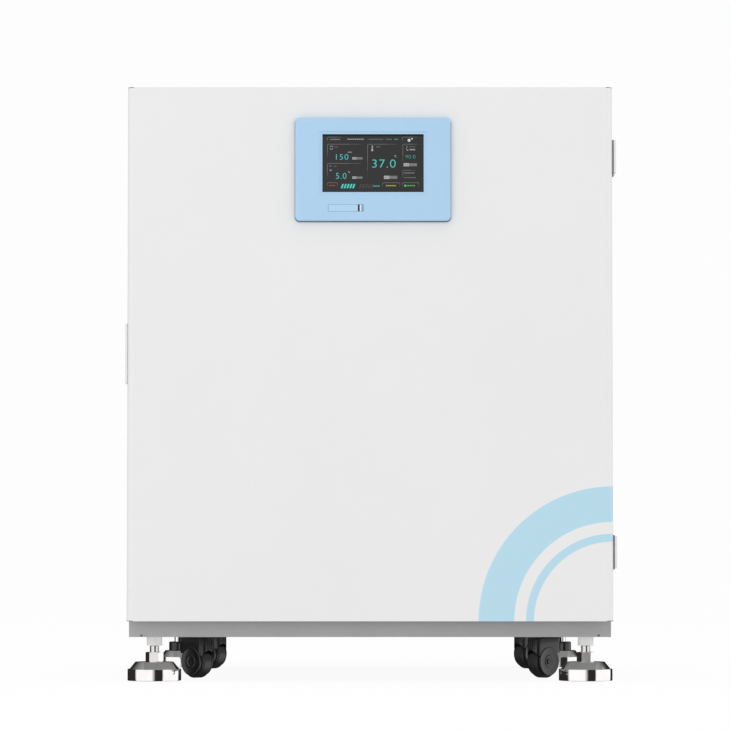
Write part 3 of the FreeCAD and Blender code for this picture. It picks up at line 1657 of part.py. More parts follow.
def make_hinges():
    """Two lift-off hinges on the right: cabinet leaves with pins, door leaves and covers."""
    fixed = []
    moving = []
    covers = []
    for name, middle in hinge_heights():
        low = f"{middle} - hinge_height / 2"
        high = f"{middle} + hinge_height / 2"
        knuckle_low = (f"{low}", f"{low} + hinge_knuckle")
        knuckle_high = (f"{high} - hinge_knuckle", f"{high}")
        knuckle_mid = (f"{knuckle_low[1]} + hinge_knuckle_gap", f"{knuckle_high[0]} - hinge_knuckle_gap")
        parts = [
            box(
                f"hinge_{name}_fixed_leaf",
                ("half_width", "body_front + clear_gap", low),
                ("half_width + hinge_leaf_wall", "body_front + hinge_leaf_depth", high),
            )
        ]
        for index, (start, stop) in enumerate((knuckle_low, knuckle_high)):
            parts.append(
                ring(
                    f"hinge_{name}_barrel_{index}",
                    ("hinge_axis_x", "hinge_axis_y", start),
                    "hinge_barrel_radius",
                    "hinge_pin_radius",
                    f"{stop} - ({start})",
                )
            )
            web = box(
                f"hinge_{name}_web_{index}",
                ("half_width", "hinge_axis_y", start),
                ("half_width + hinge_leaf_wall", "body_front + hinge_leaf_depth / 2", stop),
            )
            bore = rod(
                f"hinge_{name}_web_bore_{index}",
                ("hinge_axis_x", "hinge_axis_y", f"{start} - cut_over"),
                "hinge_pin_radius",
                f"{stop} - ({start}) + 2 * cut_over",
            )
            parts.append(cut(f"hinge_{name}_arm_{index}", web, bore))
        fixed.append(fuse(f"hinge_{name}_fixed", *parts))
        fixed.append(
            rod(
                f"hinge_{name}_pin",
                ("hinge_axis_x", "hinge_axis_y", low),
                "hinge_pin_radius",
                f"{high} - ({low})",
            )
        )
        start, stop = knuckle_mid
        leaf = box(
            f"hinge_{name}_door_leaf",
            ("half_width", "door_back - hinge_leaf_depth", low),
            ("half_width + hinge_leaf_wall", "door_back - clear_gap", high),
        )
        arm = box(
            f"hinge_{name}_door_web",
            ("half_width", "door_back - hinge_leaf_depth / 2", start),
            ("half_width + hinge_leaf_wall", "hinge_axis_y", stop),
        )
        barrel = rod(
            f"hinge_{name}_door_barrel",
            ("hinge_axis_x", "hinge_axis_y", start),
            "hinge_barrel_radius",
            f"{stop} - ({start})",
        )
        bore = rod(
            f"hinge_{name}_door_bore",
            ("hinge_axis_x", "hinge_axis_y", f"{start} - cut_over"),
            "hinge_pin_radius + running_gap",
            f"{stop} - ({start}) + 2 * cut_over",
        )
        moving.append(cut(f"hinge_{name}_door", fuse(f"hinge_{name}_door_body", leaf, arm, barrel), bore))
        cover_edges = (("case_round / 2", lambda a, b: a.x > 1e-6 and b.x > 1e-6),)
        covers.append(
            slab(
                f"hinge_{name}_cover",
                ("half_width + hinge_leaf_wall", "door_back - hinge_leaf_depth - clear_gap", low),
                ("half_width + hinge_reach", "door_back - hinge_cover_setback", high),
                cover_edges,
            )
        )
    node(group("cabinet_hinges", *fixed))
    node(group("door_hinge_leaves", *moving))
    node(group("door_hinge_covers", *covers))


def make_feet():
    """Four levelling feet, each a drum, cone, hex nut and thread, and the sleeves above them."""
    sleeves = []
    for end, row in ends():
        for side, sign in sides():
            at = (f"{sign}foot_x", row.format("foot_setback"))
            profile = [
                ("0", "0"),
                ("drum_radius - drum_edge", "0"),
                ("drum_radius", "drum_edge"),
                ("drum_radius", "drum_height - drum_edge"),
                ("drum_radius - drum_edge", "drum_height"),
                ("cone_base_radius", "drum_height"),
                ("cone_top_radius", "nut_low"),
                ("0", "nut_low"),
            ]
            drum = turned(f"foot_{end}_{side}_drum", profile, (*at, "0"))
            nut = doc.addObject("Part::Prism", f"foot_{end}_{side}_nut")
            nut.Polygon = NUT_SIDES
            bind(nut, "Circumradius", "nut_corner")
            bind(nut, "Height", "nut_height")
            place(nut, (*at, "nut_low"))
            thread = rod(
                f"foot_{end}_{side}_thread", (*at, "nut_low"), "thread_radius", "nut_height + thread_reach",
            )
            node(fuse(f"foot_{end}_{side}", drum, nut, thread))
            sleeves.append(
                ring(
                    f"sleeve_{end}_{side}",
                    (*at, "foot_rise - sleeve_height"),
                    "sleeve_radius",
                    "thread_radius + running_gap",
                    "sleeve_height",
                )
            )
    node(group("foot_sleeves", *sleeves))


def make_casters():
    """Four swivel casters: fixed stems, plastic hoods and wheels."""
    stems = []
    for end, row in ends():
        for side, sign in sides():
            x_at = f"{sign}caster_x"
            y_at = row.format("caster_setback")
            name = f"caster_{end}_{side}"
            angle = "-caster_rest_angle" if side == "left" else "caster_rest_angle - 180"
            stem_low = "head_low + clear_gap + wheel_edge"
            stems.append(
                rod(
                    f"{name}_stem",
                    (x_at, y_at, stem_low),
                    "caster_stem_radius",
                    f"foot_rise + caster_stem_above - ({stem_low})",
                )
            )
            node(swivelled(make_hood(name), x_at, y_at, angle), f"{name}_hood")
            node(swivelled(make_wheel(name), x_at, y_at, angle), f"{name}_wheel")
    node(group("caster_stems", *stems))


def swivelled(piece, x_at, y_at, angle):
    """Turn a caster piece about its stem and stand it in place."""
    place(piece, (x_at, y_at, "0"), FreeCAD.Rotation(FreeCAD.Vector(0, 0, 1), value(angle)))
    return piece


def make_hood(name):
    """A caster's hood about its stem, trailing along +X."""
    head = rod(f"{name}_head", ("0", "0", "head_low"), "head_radius", "head_height")
    neck = box(
        f"{name}_neck", ("0", "-hood_width / 2", "head_low"), ("caster_trail", "hood_width / 2", "head_top"),
    )
    shell = slab(
        f"{name}_shell",
        ("caster_trail - hood_heel", "-hood_width / 2", "axle_z + hood_skirt"),
        ("caster_trail + hood_reach", "hood_width / 2", "hood_top"),
        (
            ("hood_round", lambda a, b: along("z")(a, b) and a.x > 1e-6),
            ("hood_round / 2", lambda a, b: a.z > 1e-6 and b.z > 1e-6),
        ),
    )
    cheek = rod(
        f"{name}_cheek",
        ("caster_trail", "hood_width / 2", "axle_z"),
        "hood_cheek_radius",
        "hood_width",
        FORWARD,
    )
    cheek_web = box(
        f"{name}_cheek_web",
        ("caster_trail - hood_cheek_radius", "-hood_width / 2", "axle_z"),
        ("caster_trail + hood_cheek_radius", "hood_width / 2", "head_top"),
    )
    well = rod(
        f"{name}_well", ("caster_trail", "well_width / 2", "axle_z"), "well_radius", "well_width", FORWARD,
    )
    bore = rod(
        f"{name}_bore",
        ("0", "0", "head_low + wheel_edge"),
        "caster_stem_radius + running_gap",
        "head_height + cut_over",
    )
    axle_bore = rod(
        f"{name}_axle_bore",
        ("caster_trail", "hood_width / 2 + cut_over", "axle_z"),
        "axle_radius + running_gap",
        "hood_width + 2 * cut_over",
        FORWARD,
    )
    return cut(
        f"{name}_hood", fuse(f"{name}_hood_body", head, neck, shell, cheek, cheek_web), well, bore, axle_bore,
    )


def make_wheel(name):
    """A caster's wheel with its axle, trailing along +X from the stem."""
    half = "wheel_width / 2"
    end = "hood_width / 2"
    profile = [
        ("0", f"-{end}"),
        ("axle_radius", f"-{end}"),
        ("axle_radius", f"-{half}"),
        ("wheel_radius - wheel_edge", f"-{half}"),
        ("wheel_radius", f"-{half} + wheel_edge"),
        ("wheel_radius", f"{half} - wheel_edge"),
        ("wheel_radius - wheel_edge", half),
        ("axle_radius", half),
        ("axle_radius", end),
        ("0", end),
    ]
    return group(f"{name}_wheel", turned(f"{name}_tyre", profile, ("caster_trail", "0", "axle_z"), FORWARD))


SECTIONS = (
    make_plinth,
    make_case,
    make_rear_panel,
    make_chamber,
    make_drive_frame,
    make_cranks,
    make_platform,
    make_motor,
    make_air_path,
    make_pan,
    make_service_parts,
    make_door,
    make_grip,
    make_control_panel,
    make_hinges,
    make_feet,
    make_casters,
)


def check_all():
    """Stop if any object failed, or a sub-part's shape is empty or not valid."""
    failed = [piece.Name for piece in doc.Objects if {"Invalid", "Error"} & set(piece.State)]
    if failed:
        raise RuntimeError(f"objects that failed: {failed}")
    for piece in nodes:
        if piece.Shape.isNull() or not piece.Shape.isValid():
            raise RuntimeError(f"{piece.Label} has no valid shape")


def write_all():
    """Write each sub-part to its own STEP file."""
    os.makedirs("parts", exist_ok=True)
    for piece in nodes:
        piece.Shape.exportStep(f"parts/{piece.Label}.step")
        print(f"{piece.Label}: {len(piece.Shape.Solids)} solids, {piece.Shape.Volume / 1000:.1f} cm3")


for section in SECTIONS:
    section()
doc.recompute()
check_all()
write_all()
print(f"{len(nodes)} sub-parts")
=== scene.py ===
import logging
import math
from dataclasses import dataclass
from enum import Enum
from functools import cache
from typing import Callable, Iterable, Sequence

import bmesh
import bpy
from bpy.types import ID, Material, Mesh, Node, NodeSocket, NodeTree, Object
from mathutils import Matrix, Vector


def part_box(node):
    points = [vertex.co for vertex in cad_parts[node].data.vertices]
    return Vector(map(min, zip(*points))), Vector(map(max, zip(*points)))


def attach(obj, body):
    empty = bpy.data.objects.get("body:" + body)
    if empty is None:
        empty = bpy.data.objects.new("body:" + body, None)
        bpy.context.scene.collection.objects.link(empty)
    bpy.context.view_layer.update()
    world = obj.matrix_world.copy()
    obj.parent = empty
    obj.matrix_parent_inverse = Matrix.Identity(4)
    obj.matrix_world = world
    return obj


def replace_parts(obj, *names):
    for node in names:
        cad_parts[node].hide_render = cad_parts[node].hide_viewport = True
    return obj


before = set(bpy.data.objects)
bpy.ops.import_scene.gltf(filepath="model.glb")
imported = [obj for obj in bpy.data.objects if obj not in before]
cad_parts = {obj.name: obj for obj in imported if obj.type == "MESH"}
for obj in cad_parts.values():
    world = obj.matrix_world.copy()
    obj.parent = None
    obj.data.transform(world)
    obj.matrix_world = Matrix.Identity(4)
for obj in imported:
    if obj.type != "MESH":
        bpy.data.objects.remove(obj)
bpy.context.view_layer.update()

MM = 0.001
SMOOTH_BELOW = 35.0
BEVEL = {"segments": 2, "profile": 0.5, "affect": "EDGES"}
DIGITS = {"extrude": 0.5, "resolution_u": 4, "offset": -0.014, "space_character": 1.08}
MERGE_WITHIN = 1e-7
BLACK = (0.0, 0.0, 0.0)

Colour = tuple[float, float, float]
Point = tuple[float, float, float]
Pair = tuple[float, float]
Run = tuple[int, Point]
Link = NodeSocket | float | Sequence[float]
Reach = float | Callable[[float], float]
Outline = Sequence[Pair]
Profile = Sequence[tuple[Reach, float]]

log = logging.getLogger("incubator_shaker")


# Helpers for meshes


def new_object(name: str, data: ID) -> Object:
    """Link a mesh, curve, lamp or camera as an object at the origin.

    Args:
        name: The object's name, which its data take too.
        data: Its data.

    Returns:
        The new object.
    """
    data.name = name
    piece = bpy.data.objects.new(name, data)
    bpy.context.scene.collection.objects.link(piece)
    return piece


def settled(carrier: Object) -> Mesh:
    """An object's shape as a plain mesh, after its modifiers."""
    bpy.context.view_layer.update()
    return bpy.data.meshes.new_from_object(carrier.evaluated_get(bpy.context.evaluated_depsgraph_get()))


def opened(meshes: Iterable[Mesh]) -> bmesh.types.BMesh:
    """Several meshes as one bmesh; the meshes are removed.

    Args:
        meshes: The meshes.

    Returns:
        The bmesh.
    """
    shape = bmesh.new()
    for mesh in meshes:
        shape.from_mesh(mesh)
        bpy.data.meshes.remove(mesh)
    return shape


def closed(shape: bmesh.types.BMesh) -> Mesh:
    """A bmesh as a mesh; the bmesh is freed.

    Args:
        shape: The bmesh.

    Returns:
        The mesh.
    """
    mesh = bpy.data.meshes.new("shape")
    shape.to_mesh(mesh)
    shape.free()
    return mesh


def mesh_from(shape: bmesh.types.BMesh, smooth_below: float = SMOOTH_BELOW) -> Mesh:
    """Turn a bmesh into a mesh with outward faces and soft shading below an angle.

    Args:
        shape: The bmesh, which is freed.
        smooth_below: Edges that turn less than this many degrees are shaded soft.

    Returns:
        The mesh.
    """
    bmesh.ops.recalc_face_normals(shape, faces=shape.faces)
    limit = math.radians(smooth_below)
    for face in shape.faces:
        face.smooth = True
    for edge in shape.edges:
        edge.smooth = len(edge.link_faces) == 2 and edge.calc_face_angle(0.0) < limit
    return closed(shape)


def joined(meshes: Iterable[Mesh]) -> Mesh:
    """Several meshes as one; the meshes are removed.

    Args:
        meshes: The meshes.

    Returns:
        The joined mesh.
    """
    shape = opened(meshes)
    for edge in shape.edges:
        edge.smooth = edge.smooth and len(edge.link_faces) == 2
    return closed(shape)


def moved(mesh: Mesh, at: Point = (0, 0, 0), turn: Matrix | None = None) -> Mesh:
    """Turn a mesh about the origin, then carry it to its place.

    Args:
        mesh: The mesh.
        at: The place in mm.
        turn: A 4x4 rotation, or None.

    Returns:
        The same mesh.
    """
    mesh.transform(Matrix.Translation(Vector(at) * MM) @ (turn or Matrix.Identity(4)))
    return mesh


def on_circle(radius: float, angle: float, middle: Pair = (0.0, 0.0)) -> Pair:
    """The point of a circle at an angle in radians."""
    return middle[0] + radius * math.cos(angle), middle[1] + radius * math.sin(angle)


def hexagon(flats: float) -> Callable[[float], float]:
    """How far the edge of a hexagon is from its middle at an angle, for lathe."""
    sixth = math.pi / 3
    return lambda angle: flats / 2 / math.cos(angle % sixth - sixth / 2)


def lathe(profile: Profile, sides: int = 32, smooth_below: float = SMOOTH_BELOW) -> Mesh:
    """Spin a half outline about +Z.

    Args:
        profile: Radius and height pairs in mm; a radius may be a function of the angle. A closed ring
            when no radius is zero.
        sides: Steps round the axis.
        smooth_below: Edges that turn less than this many degrees are shaded soft.

    Returns:
        A closed mesh in metres.
    """
    shape = bmesh.new()
    rows = []
    for radius, height in profile:
        if radius == 0:
            rows.append([shape.verts.new((0, 0, height * MM))])
            continue
        row = []
        for angle in (math.tau * step / sides for step in range(sides)):
            reach = radius(angle) if callable(radius) else radius
            row.append(shape.verts.new(Vector((*on_circle(reach, angle), height)) * MM))
        rows.append(row)
    pairs = list(zip(rows, rows[1:]))
    if len(rows[0]) > 1 and len(rows[-1]) > 1:
        pairs.append((rows[-1], rows[0]))
    for lower, upper in pairs:
        for step in range(sides):
            after = (step + 1) % sides
            corners = [lower[step % len(lower)], lower[after % len(lower)]]
            corners += [upper[after % len(upper)], upper[step % len(upper)]]
            ring = list(dict.fromkeys(corners))
            if len(ring) > 2:
                shape.faces.new(ring)
    return mesh_from(shape, smooth_below)


def rounded_outline(width: float, height: float, radius: float, steps: int) -> list[Pair]:
    """The corners of a rounded rectangle about the origin.

    Args:
        width: Size across.
        height: Size up.
        radius: Corner radius.
        steps: Straight steps in each corner.

    Returns:
        The points, anticlockwise.
    """
    points = []
    for turn, (side_x, side_y) in enumerate(((1, 1), (-1, 1), (-1, -1), (1, -1))):
        middle = side_x * (width / 2 - radius), side_y * (height / 2 - radius)
        for step in range(steps + 1):
            points.append(on_circle(radius, math.pi / 2 * (turn + step / steps), middle))
    return points


def divided(outline: Outline, longest: float) -> list[Pair]:
    """Cut the long runs of a closed outline into even steps.

    Args:
        outline: Its corners in mm.
        longest: The longest step.

    Returns:
        The corners with the new points between them.
    """
    points = []
    for first, second in zip(outline, [*outline[1:], outline[0]]):
        steps = max(1, math.ceil(math.dist(first, second) / longest))
        for step in range(steps):
            points.append(tuple(a + (b - a) * step / steps for a, b in zip(first, second)))
    return points


def inset(outline: Outline, depth: float) -> list[Pair]:
    """Carry each point of a closed anticlockwise outline inwards.

    Args:
        outline: Its points in mm.
        depth: How far.

    Returns:
        As many points.
    """
    points = []
    for index, (x, y) in enumerate(outline):
        before, after = outline[index - 1], outline[(index + 1) % len(outline)]
        run = Vector((after[0] - before[0], after[1] - before[1])).normalized()
        points.append((x - run.y * depth, y + run.x * depth))
    return points


def stacked(loops: Sequence[Sequence[Point]]) -> Mesh:
    """A closed skin through loops of as many points each, flat across the first and the last.

    Args:
        loops: The loops in mm, in order.

    Returns:
        The mesh in metres.
    """
    shape = bmesh.new()
    rows = [[shape.verts.new(Vector(point) * MM) for point in loop] for loop in loops]
    shape.faces.new(rows[0])
    shape.faces.new(rows[-1])
    for lower, upper in zip(rows, rows[1:]):
        for step in range(len(lower)):
            after = (step + 1) % len(lower)
            shape.faces.new((lower[step], lower[after], upper[after], upper[step]))
    return mesh_from(shape)


def plate(outline: Outline, depth: float, edge: float = 0.0) -> Mesh:
    """A flat plate that faces -Y, with softened front edges.

    Args:
        outline: Across and up pairs in mm.
        depth: Thickness in mm, towards +Y.
        edge: Width in mm of the bevel round the front.

    Returns:
        A closed mesh in metres, with its back on y = 0.
    """
    shape = bmesh.new()
    back = [shape.verts.new((x * MM, 0, z * MM)) for x, z in outline]
    shape.faces.new(back)
    grown = bmesh.ops.extrude_face_region(shape, geom=shape.faces[:])
    front = [item for item in grown["geom"] if isinstance(item, bmesh.types.BMVert)]
    bmesh.ops.translate(shape, verts=front, vec=(0, -depth * MM, 0))
    if edge:
        chosen = set(front)
        rim = [e for e in shape.edges if e.verts[0] in chosen and e.verts[1] in chosen]
        bmesh.ops.bevel(shape, geom=rim, offset=edge * MM, **BEVEL)
    return mesh_from(shape)


def block(size: Point, edge: float) -> Mesh:
    """A bevelled block about the origin.

    Args:
        size: Lengths in mm along X, Y and Z.
        edge: Bevel width in mm.

    Returns:
        The mesh in metres.
    """
    shape = bmesh.new()
    bmesh.ops.create_cube(shape, size=1.0)
    bmesh.ops.scale(shape, verts=shape.verts, vec=[length * MM for length in size])
    bmesh.ops.bevel(shape, geom=shape.edges[:], offset=edge * MM, **BEVEL)
    return mesh_from(shape)


def figure(text: str, width: float, height: float, depth: float) -> Mesh:
    """Digits as a thin plate that faces -Y.

    Args:
        text: The digits.
        width: Full width in mm.
        height: Full height in mm.
        depth: Thickness in mm.

    Returns:
        The mesh in metres, with its lower left back corner at the origin.
    """
    curve = bpy.data.curves.new("figure", "FONT")
    curve.body = text
    for key, setting in DIGITS.items():
        setattr(curve, key, setting)
    carrier = new_object("figure", curve)
    mesh = settled(carrier)
    bpy.data.objects.remove(carrier)
    bpy.data.curves.remove(curve)
    low = Vector([min(v.co[i] for v in mesh.vertices) for i in range(3)])
    high = Vector([max(v.co[i] for v in mesh.vertices) for i in range(3)])
    span = high - low
    fit = Matrix.Diagonal((width * MM / span.x, height * MM / span.y, depth * MM / span.z, 1))
    mesh.transform(Matrix.Rotation(math.pi / 2, 4, "X") @ fit @ Matrix.Translation(-low))
    shape = opened([mesh])
    bmesh.ops.remove_doubles(shape, verts=shape.verts, dist=MERGE_WITHIN)
    return mesh_from(shape)


# Shader node groups


class Wires:
    """Adds and links nodes in one tree."""

    def __init__(self, tree: NodeTree) -> None:
        """Keep the tree that the nodes go in."""
        self.tree = tree

    def add(self, kind: str, settings: dict[str, object] | None = None, **inputs: Link) -> Node:
        """Add a node and fill its inputs.

        Args:
            kind: The node's type.
            settings: Plain properties of the node.
            inputs: Input names, with spaces as underscores, or numbers after an underscore.

        Returns:
            The node.
        """
        node = self.tree.nodes.new(kind)
        for key, setting in (settings or {}).items():
            setattr(node, key, setting)
        for key, link in inputs.items():
            name = key.replace("_", " ").strip()
            socket = node.inputs[int(name)] if name.isdigit() else node.inputs[name]
            self.feed(socket, link)
        return node

    def feed(self, socket: NodeSocket, link: Link) -> None:
        """Link a socket, or give it a plain value.

        Args:
            socket: The socket.
            link: What feeds it, or its value.
        """
        if isinstance(link, NodeSocket):
            self.tree.links.new(link, socket)
        else:
            socket.default_value = link

    def maths(self, operation: str, first: Link, second: Link = 0.0) -> NodeSocket:
        """The result of one sum."""
        return self.add("ShaderNodeMath", {"operation": operation}, _0=first, _1=second).outputs[0]

    def blend(self, share: Link, first: Link, second: Link) -> NodeSocket:
        """A colour between two."""
        return self.add("ShaderNodeMix", {"data_type": "RGBA"}, _0=share, _6=first, _7=second).outputs[2]

    def spread(self, value: Link, low: Link, high: Link, start: Link = 0.0, end: Link = 1.0) -> NodeSocket:
        """A value carried from one range to another.

        Args:
            value: The value.
            low, high: The ends of the new range.
            start, end: The ends of its own range.

        Returns:
            The new value.
        """
        node = self.add(
            "ShaderNodeMapRange", Value=value, From_Min=start, From_Max=end, To_Min=low, To_Max=high
        )
        return node.outputs[0]

    def vector(self, operation: str, first: Link, second: Link) -> Node:
        """A vector node of one operation."""
        return self.add("ShaderNodeVectorMath", {"operation": operation}, _0=first, _1=second)

    def noise(self, place: Link, scale: Link, detail: float) -> NodeSocket:
        """Soft noise."""
        return self.add("ShaderNodeTexNoise", Vector=place, Scale=scale, Detail=detail).outputs[0]


Sockets = dict[str, NodeSocket]
SOCKETS = {"vector": "NodeSocketVector", "value": "NodeSocketFloat", "colour": "NodeSocketColor"}
FINER = 9.0
BROAD_SHARE, FINE_SHARE = 0.7, 0.3
TONE_EDGES = (0.3, 0.7)
PEEL_EDGES = (0.35, 0.65)
SCRATCH_EDGES = (0.70, 0.76)
SCRATCH_WAYS = ((0.04, 1.0, 1.0), (1.0, 0.9, 0.05))


def group_tree(
    name: str, inputs: dict[str, str], outputs: dict[str, str],
    wire: Callable[[Wires, Sockets], Sequence[NodeSocket]],
) -> NodeTree:
    """Build a shader node group.

    Args:
        name: The group's name.
        inputs: Name and kind of each input.
        outputs: Name and kind of each output.
        wire: Wires the group from its inputs and returns what its outputs take.

    Returns:
        The group's tree.
    """
    tree = bpy.data.node_groups.new(name, "ShaderNodeTree")
    for side, sockets in (("INPUT", inputs), ("OUTPUT", outputs)):
        for label, kind in sockets.items():
            tree.interface.new_socket(label, in_out=side, socket_type=SOCKETS[kind])
    wires = Wires(tree)
    given = wires.add("NodeGroupInput").outputs
    end = wires.add("NodeGroupOutput")
    for index, socket in enumerate(wire(wires, given)):
        tree.links.new(socket, end.inputs[index])
    return tree


def wire_tone(wires: Wires, given: Sockets) -> Sequence[NodeSocket]:
    """Two scales of soft noise that vary colour and roughness.

    Args:
        wires: The group's wires.
        given: Its inputs.

    Returns:
        The colour and the roughness.
    """
    broad = wires.noise(given["Place"], given["Scale"], detail=3.0)
    fine = wires.noise(given["Place"], wires.maths("MULTIPLY", given["Scale"], FINER), detail=2.0)
    both = wires.maths(
        "ADD", wires.maths("MULTIPLY", broad, BROAD_SHARE), wires.maths("MULTIPLY", fine, FINE_SHARE)
    )
    even = wires.spread(both, 0.0, 1.0, *TONE_EDGES)
    rough = wires.spread(even, given["Rough Low"], given["Rough High"])
    return wires.blend(even, given["Dark"], given["Light"]), rough


def wire_peel(wires: Wires, given: Sockets) -> Sequence[NodeSocket]:
    """Fine dimples, as powder coat or moulded plastic has."""
    dimples = wires.noise(given["Place"], given["Scale"], detail=2.0)
    return (wires.spread(dimples, 0.0, 1.0, *PEEL_EDGES),)


def wire_brushed(wires: Wires, given: Sockets) -> Sequence[NodeSocket]:
    """Long fine lines along the axis that the stretch leaves small."""
    along = wires.vector("MULTIPLY", given["Place"], given["Stretch"])
    return (wires.noise(along.outputs[0], given["Scale"], detail=4.0),)


def wire_cells(wires: Wires, given: Sockets) -> Sequence[NodeSocket]:
    """Closed cells or grains."""
    cells = wires.add("ShaderNodeTexVoronoi", Vector=given["Place"], Scale=given["Scale"])
    return (cells.outputs["Distance"],)


def wire_lines(wires: Wires, given: Sockets) -> Sequence[NodeSocket]:
    """Even ridges across the axis that the stretch keeps.

    Args:
        wires: The group's wires.
        given: Its inputs.

    Returns:
        The height.
    """
    along = wires.vector("DOT_PRODUCT", given["Place"], given["Stretch"])
    angle = wires.maths("MULTIPLY", along.outputs["Value"], given["Scale"])
    return (wires.spread(wires.maths("SINE", angle), 0.0, 1.0, -1.0, 1.0),)


def wire_scratches(wires: Wires, given: Sockets) -> Sequence[NodeSocket]:
    """A few thin scratches in two directions.

    Args:
        wires: The group's wires.
        given: Its inputs.

    Returns:
        The height.
    """
    marks = []
    for stretch in SCRATCH_WAYS:
        along = wires.vector("MULTIPLY", given["Place"], stretch)
        lines = wires.noise(along.outputs[0], given["Scale"], detail=1.0)
        marks.append(wires.spread(lines, 0.0, 1.0, *SCRATCH_EDGES))
    return (wires.maths("MAXIMUM", *marks),)


class Relief(Enum):
    """The fine relief of a surface: its group name, its wiring and whether it takes a stretch."""

    PEEL = ("relief_peel", wire_peel, False)
    BRUSHED = ("relief_brushed", wire_brushed, True)
    CELLS = ("relief_cells", wire_cells, False)
    LINES = ("relief_lines", wire_lines, True)
    SCRATCHES = ("relief_scratches", wire_scratches, False)

    @property
    def stretched(self) -> bool:
        """Whether it takes a stretch."""
        return self.value[2]


@cache
def tone_group() -> NodeTree:
    """The group for slow changes of colour and roughness, made once.

    Returns:
        The group's tree.
    """
    inputs = {
        "Place": "vector", "Scale": "value", "Dark": "colour", "Light": "colour", "Rough Low": "value",
        "Rough High": "value",
    }
    return group_tree("surface_tone", inputs, {"Colour": "colour", "Rough": "value"}, wire_tone)


@cache
def relief_group(relief: Relief) -> NodeTree:
    """The group for one kind of relief, made once.

    Args:
        relief: The kind.

    Returns:
        The group's tree.
    """
    name, wire, _ = relief.value
    inputs = {"Place": "vector", "Scale": "value"} | ({"Stretch": "vector"} if relief.stretched else {})
    return group_tree(name, inputs, {"Height": "value"}, wire)


# Finishes


def opaque(colour: Sequence[float]) -> tuple[float, ...]:
    """A colour with full cover."""
    return (*colour, 1.0)


def grey(level: float) -> tuple[float, ...]:
    """A grey or white with full cover."""
    return opaque((level, level, level))


@dataclass
class Surface:
    """What a finish is wired on: a material's nodes, its object coordinates, its tones and its shader."""

    wires: Wires
    place: NodeSocket
    colour: NodeSocket
    rough: NodeSocket
    shader: Node

    def axes(self) -> Sequence[NodeSocket]:
        """The object coordinates one by one."""
        return self.wires.add("ShaderNodeSeparateXYZ", Vector=self.place).outputs

    def light_up(self, glow: Link, power: float, gloss: float) -> None:
        """Let the surface glow, with less gloss than bare glass has.

        Args:
            glow: The colour of the light.
            power: Its strength.
            gloss: The level of the gloss.
        """
        self.wires.feed(self.shader.inputs["Emission Color"], glow)
        self.shader.inputs["Emission Strength"].default_value = power
        self.shader.inputs["Specular IOR Level"].default_value = gloss


@dataclass(frozen=True)
class Finish:
    """One surface finish, with its tones, gloss and fine relief. Lengths are in mm."""

    name: str
    dark: Colour
    light: Colour
    rough: Pair
    patch: float = 60.0
    metal: float = 0.0
    coat: float = 0.0
    coat_rough: float = 0.08
    relief: Relief = Relief.PEEL
    grain: float = 0.8
    depth: float = 0.02
    strength: float = 0.25
    stretch: Point = (1.0, 1.0, 1.0)
    wear: float = 0.0
    scratch: float = 2.5
    bare_gain: float = 1.35
    bare_lift: float = 0.03
    bare_rough: float = 0.25
    slot: str = ""

    @cache
    def material(self) -> Material:
        """The finish's material, made once.

        Returns:
            The material.
        """
        material = bpy.data.materials.new(self.name)
        material.use_nodes = True
        material.node_tree.nodes.clear()
        wires = Wires(material.node_tree)
        place = wires.add("ShaderNodeTexCoord").outputs["Object"]
        shader = wires.add(
            "ShaderNodeBsdfPrincipled", Metallic=self.metal, Coat_Weight=self.coat,
            Coat_Roughness=self.coat_rough,
        )
        smooth, rough = self.rough
        tone = wires.add(
            "ShaderNodeGroup", {"node_tree": tone_group()}, Place=place, Scale=1 / (self.patch * MM),
            Dark=opaque(self.dark), Light=opaque(self.light), Rough_Low=smooth, Rough_High=rough,
        )
        surface = Surface(wires, place, tone.outputs["Colour"], tone.outputs["Rough"], shader)
        self.dress(surface)
        wires.feed(shader.inputs["Base Color"], surface.colour)
        wires.feed(shader.inputs["Roughness"], surface.rough)
        height = self.height(wires, place)
        bump = wires.add("ShaderNodeBump", Strength=self.strength, Distance=self.depth * MM, Height=height)
        wires.feed(shader.inputs["Normal"], bump.outputs[0])
        wires.add("ShaderNodeOutputMaterial", Surface=shader.outputs[0])
        return material

    def height(self, wires: Wires, place: NodeSocket) -> NodeSocket:
        """The height of the fine relief.

        Args:
            wires: The material's wires.
            place: Its object coordinates.

        Returns:
            The height.
        """
        turns = math.tau if self.relief is Relief.LINES else 1.0
        stretch = {"Stretch": self.stretch} if self.relief.stretched else {}
        node = wires.add(
            "ShaderNodeGroup", {"node_tree": relief_group(self.relief)}, Place=place,
            Scale=turns / (self.grain * MM), **stretch,
        )
        return node.outputs[0]

    def dress(self, surface: Surface) -> None:
        """Add the marks that this finish has over its tones: here, brighter and duller scratches.

        Args:
            surface: What it is wired on.
        """
        if not self.wear:
            return
        wires = surface.wires
        marks = wires.add(
            "ShaderNodeGroup", {"node_tree": relief_group(Relief.SCRATCHES)}, Place=surface.place,
            Scale=1 / (self.scratch * MM),
        )
        share = wires.maths("MULTIPLY", marks.outputs[0], self.wear)
        bare = [min(1.0, part * self.bare_gain + self.bare_lift) for part in self.light]
        surface.colour = wires.blend(share, surface.colour, opaque(bare))
        duller = wires.maths("MULTIPLY", share, self.bare_rough)
        surface.rough = wires.maths("ADD", surface.rough, duller)


